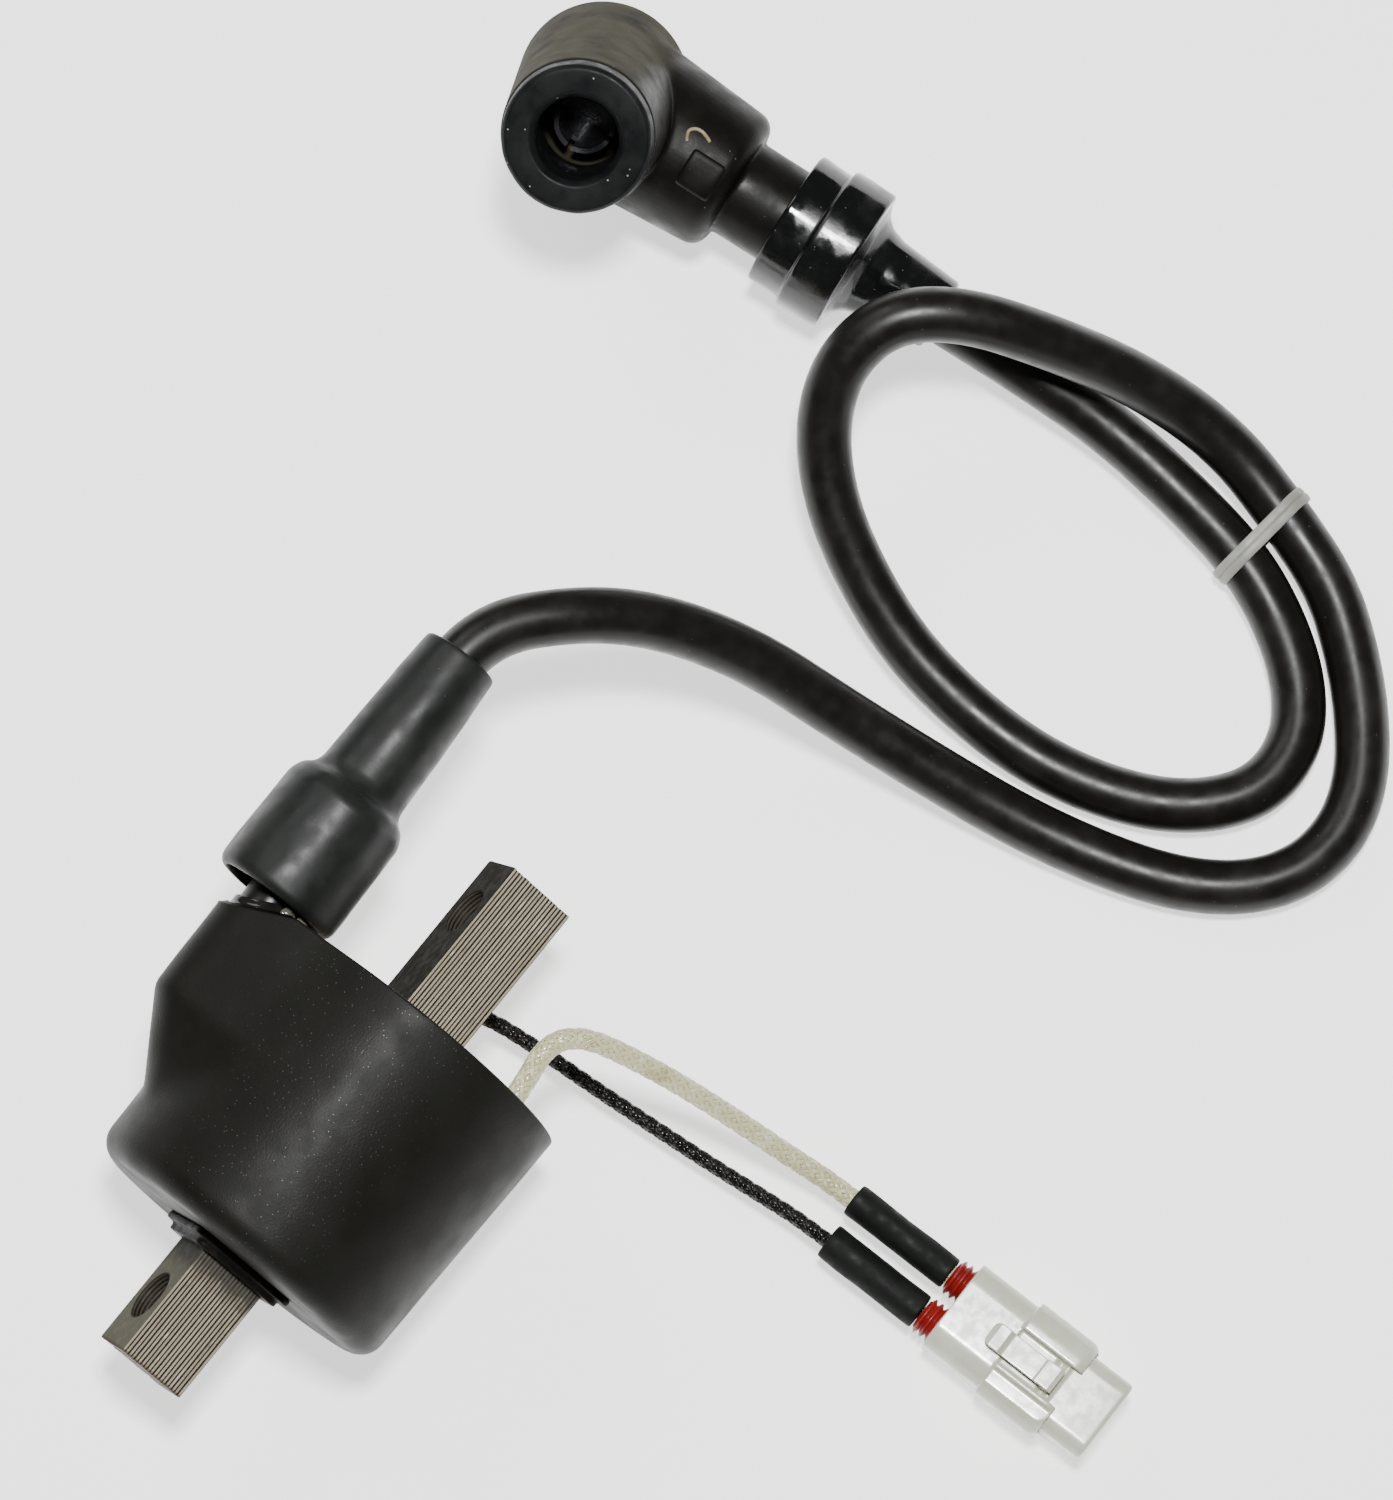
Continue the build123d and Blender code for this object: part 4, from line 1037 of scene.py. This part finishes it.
seal_outline = [
    (NECK_LEN + 0.1, LEAD_D / 2 + 0.05), (NECK_LEN + 0.1, NECK_R + TWIST_GAP), (28.4, NECK_R + TWIST_GAP),
    (28.4, 8.9), (28.7, 9.1), (32.95, 9.05), (33.1, 9.3), (33.15, 9.7), (33.5, 9.9), (38.9, 9.85),
    (39.25, 9.6), (39.3, 8.6), (39.9, 7.2), (41.0, 6.2), (43.1, 5.45), (46.6, 5.2), (51.6, 4.8), (52.0, 4.5),
    (51.95, LEAD_D / 2 + 0.05),
]
seal = turned("neck_seal", elbow, arm_dir, rounded(seal_outline, 0.3, 3), "cap_rubber", "root",
              ("cap_lead_seal",), 128, 0.10)

ARM_ROOT_R = 11.0
ARM_END_R = 9.6
ARM_ROUND_AT = 18.2
ARM_MARKS_TURN = radians(11.4)


def on_cap_arm(distance, turn, radius):
    """Point beside the arm's axis, by its angle from the middle of the marked side."""
    top = (UP - arm_dir * UP.dot(arm_dir)).normalized()
    side = arm_dir.cross(top)
    turn += ARM_MARKS_TURN
    return elbow + (arm_dir * distance + (top * cos(turn) + side * sin(turn)) * radius) * MM


def arm_radius(distance):
    """Radius of the cap's arm."""
    return ARM_ROOT_R + (ARM_END_R - ARM_ROOT_R) * distance / ARM_ROUND_AT


def arm_pad():
    """Raised rectangular pad on the arm."""
    steps = 12
    loops = []
    for rise, grow in ((-0.8, 0.3), (0.15, 0.3), (0.3, 0.0), (0.3, -0.6)):
        outline = rounded([(15.0 - grow, -0.1 - grow), (19.2 + grow, -0.1 - grow),
                           (19.2 + grow, 4.5 + grow), (15.0 - grow, 4.5 + grow)], 0.5, 3)
        loop = []
        for start, end in zip(outline, outline[1:] + outline[:1]):
            for k in range(steps):
                place = start.lerp(end, k / steps)
                radius = arm_radius(place.x) + rise
                loop.append(on_cap_arm(place.x, place.y / radius, radius))
        loops.append(loop)
    points, faces = skin(loops)
    return add_mesh("arm_pad", points, faces, "cap_moulding", "plug_cap")


def arm_ridge():
    """Thin curl of flash left on the arm by its mould, coloured pale as a painted highlight."""
    places = [(13.4, -0.5), (12.9, -1.3), (12.9, -2.0), (13.6, -2.6), (14.8, -2.6), (15.9, -2.0)]
    line = [on_cap_arm(d, w / arm_radius(d), arm_radius(d) + 0.12) for d, w in places]
    curve = nurbs_route("arm_ridge", line)
    curve.bevel_depth = 0.24 * MM
    curve.bevel_resolution = 4
    curve.use_fill_caps = True
    return add_piece("arm_ridge", curve, "cap_moulding", "plug_cap", look="flash_painted_highlight")


pad = arm_pad()
ridge = arm_ridge()

# ---------------------------------------------------------------- primary leads
CONN_Z = 5.8
CONN_BACK = -73.9
WHITE_D = 2.6
BLACK_D = 1.9
white_route = [
    mm(10.5, -18.6, 28.4),
    mm(17.0, -18.2, 29.1),
    mm(22.6, -17.3, 29.5),
    mm(26.2, -19.8, 28.4),
    mm(28.3, -25.5, 24.5),
    mm(30.4, -32.5, 18.0),
    mm(31.9, -40.0, 12.5),
    mm(33.0, -47.5, 8.5),
    mm(34.0, -54.0, CONN_Z),
    mm(34.0, -79.0, CONN_Z),
]
black_route = [
    mm(10.5, 4.2, 9.2),
    mm(15.5, 4.0, 9.2),
    mm(20.5, 0.5, 8.8),
    mm(23.4, -6.0, 8.0),
    mm(24.4, -14.0, 7.0),
    mm(25.0, -22.5, 6.0),
    mm(25.8, -31.0, 5.2),
    mm(26.5, -39.0, 5.0),
    mm(27.3, -47.0, 5.4),
    mm(28.0, -54.5, CONN_Z),
    mm(28.0, -79.0, CONN_Z),
]
white_line = line_of(nurbs_route("white_route", white_route))
black_line = line_of(nurbs_route("black_route", black_route))
white_lead = add_mesh("white_braid", *braid(white_line, WHITE_D * MM, 10, 11.5 * MM, 0.66 * MM, 0.17 * MM),
                      "white_sleeving", replaces=("primary_lead_white",))
black_lead = add_mesh("black_braid", *braid(black_line, BLACK_D * MM, 8, 8.0 * MM, 0.58 * MM, 0.16 * MM),
                      "black_sleeving", replaces=("primary_lead_black",))

# on the leads: shrink tubes, seals and the connector
BACKWARDS = Vector((0, -1, 0))
SHRINK_TO = -2.7
SEAL_FROM = -2.5
SEAL_LEN = 6.6
SEAL_R = 2.5


def shrink_tube(name, x, start, radius, lead_d, node):
    """Shrunk tube: a little uneven, with its mouth slightly open."""
    inner = lead_d / 2 + 0.15
    outline = [
        (start, inner + 0.25), (start, radius - 0.05), (start + 0.5, radius + 0.03), (start + 3, radius),
        (start + 7, radius - 0.06), (start + 11, radius - 0.02), (SHRINK_TO - 0.3, radius),
        (SHRINK_TO, radius - 0.12), (SHRINK_TO, inner), (start + 1.2, inner),
    ]
    return turned(name, mm(x, CONN_BACK, CONN_Z), BACKWARDS, rounded(outline, 0.18), "shrink_tube", "root",
                  (node,), 64, 0.10)


def ribbed_seals():
    """Two ribbed silicone seals."""
    points, faces = [], []
    for x, lead_d in ((34.0, WHITE_D), (28.0, BLACK_D)):
        inner = lead_d / 2 + 0.02
        outline = [(SEAL_FROM, inner), (SEAL_FROM, SEAL_R - 0.6)]
        pitch = 0.92
        ribs = 7
        for i in range(ribs):
            at = SEAL_FROM + 0.1 + i * pitch
            outline += [(at, SEAL_R - 0.58), (at + 0.34, SEAL_R),
                        (at + 0.5, SEAL_R), (at + 0.84, SEAL_R - 0.58)]
        outline += [(SEAL_FROM + SEAL_LEN, SEAL_R - 0.6), (SEAL_FROM + SEAL_LEN, inner)]
        part = turned("part", mm(x, CONN_BACK, CONN_Z), BACKWARDS, rounded(outline, 0.08, 2), "red_silicone",
                      segments=64, waver=0.10)
        start = len(points)
        points += [v.co.copy() for v in part.data.vertices]
        faces += [tuple(i + start for i in p.vertices) for p in part.data.polygons]
        bpy.data.objects.remove(part)
    return add_mesh("ribbed_seals", points, faces, "red_silicone", replaces=("wire_seals",))


white_tube = shrink_tube("shrink_tube_white", 34.0, -17.8, 2.17, WHITE_D, "heat_shrink_white")
black_tube = shrink_tube("shrink_tube_black", 28.0, -17.1, 2.35, BLACK_D, "heat_shrink_black")
seals = ribbed_seals()
housing = moulded("connector_housing", 0.14, 4, "connector_nylon")
latch = moulded("connector_latch", 0.10, 3, "connector_nylon", "latch")
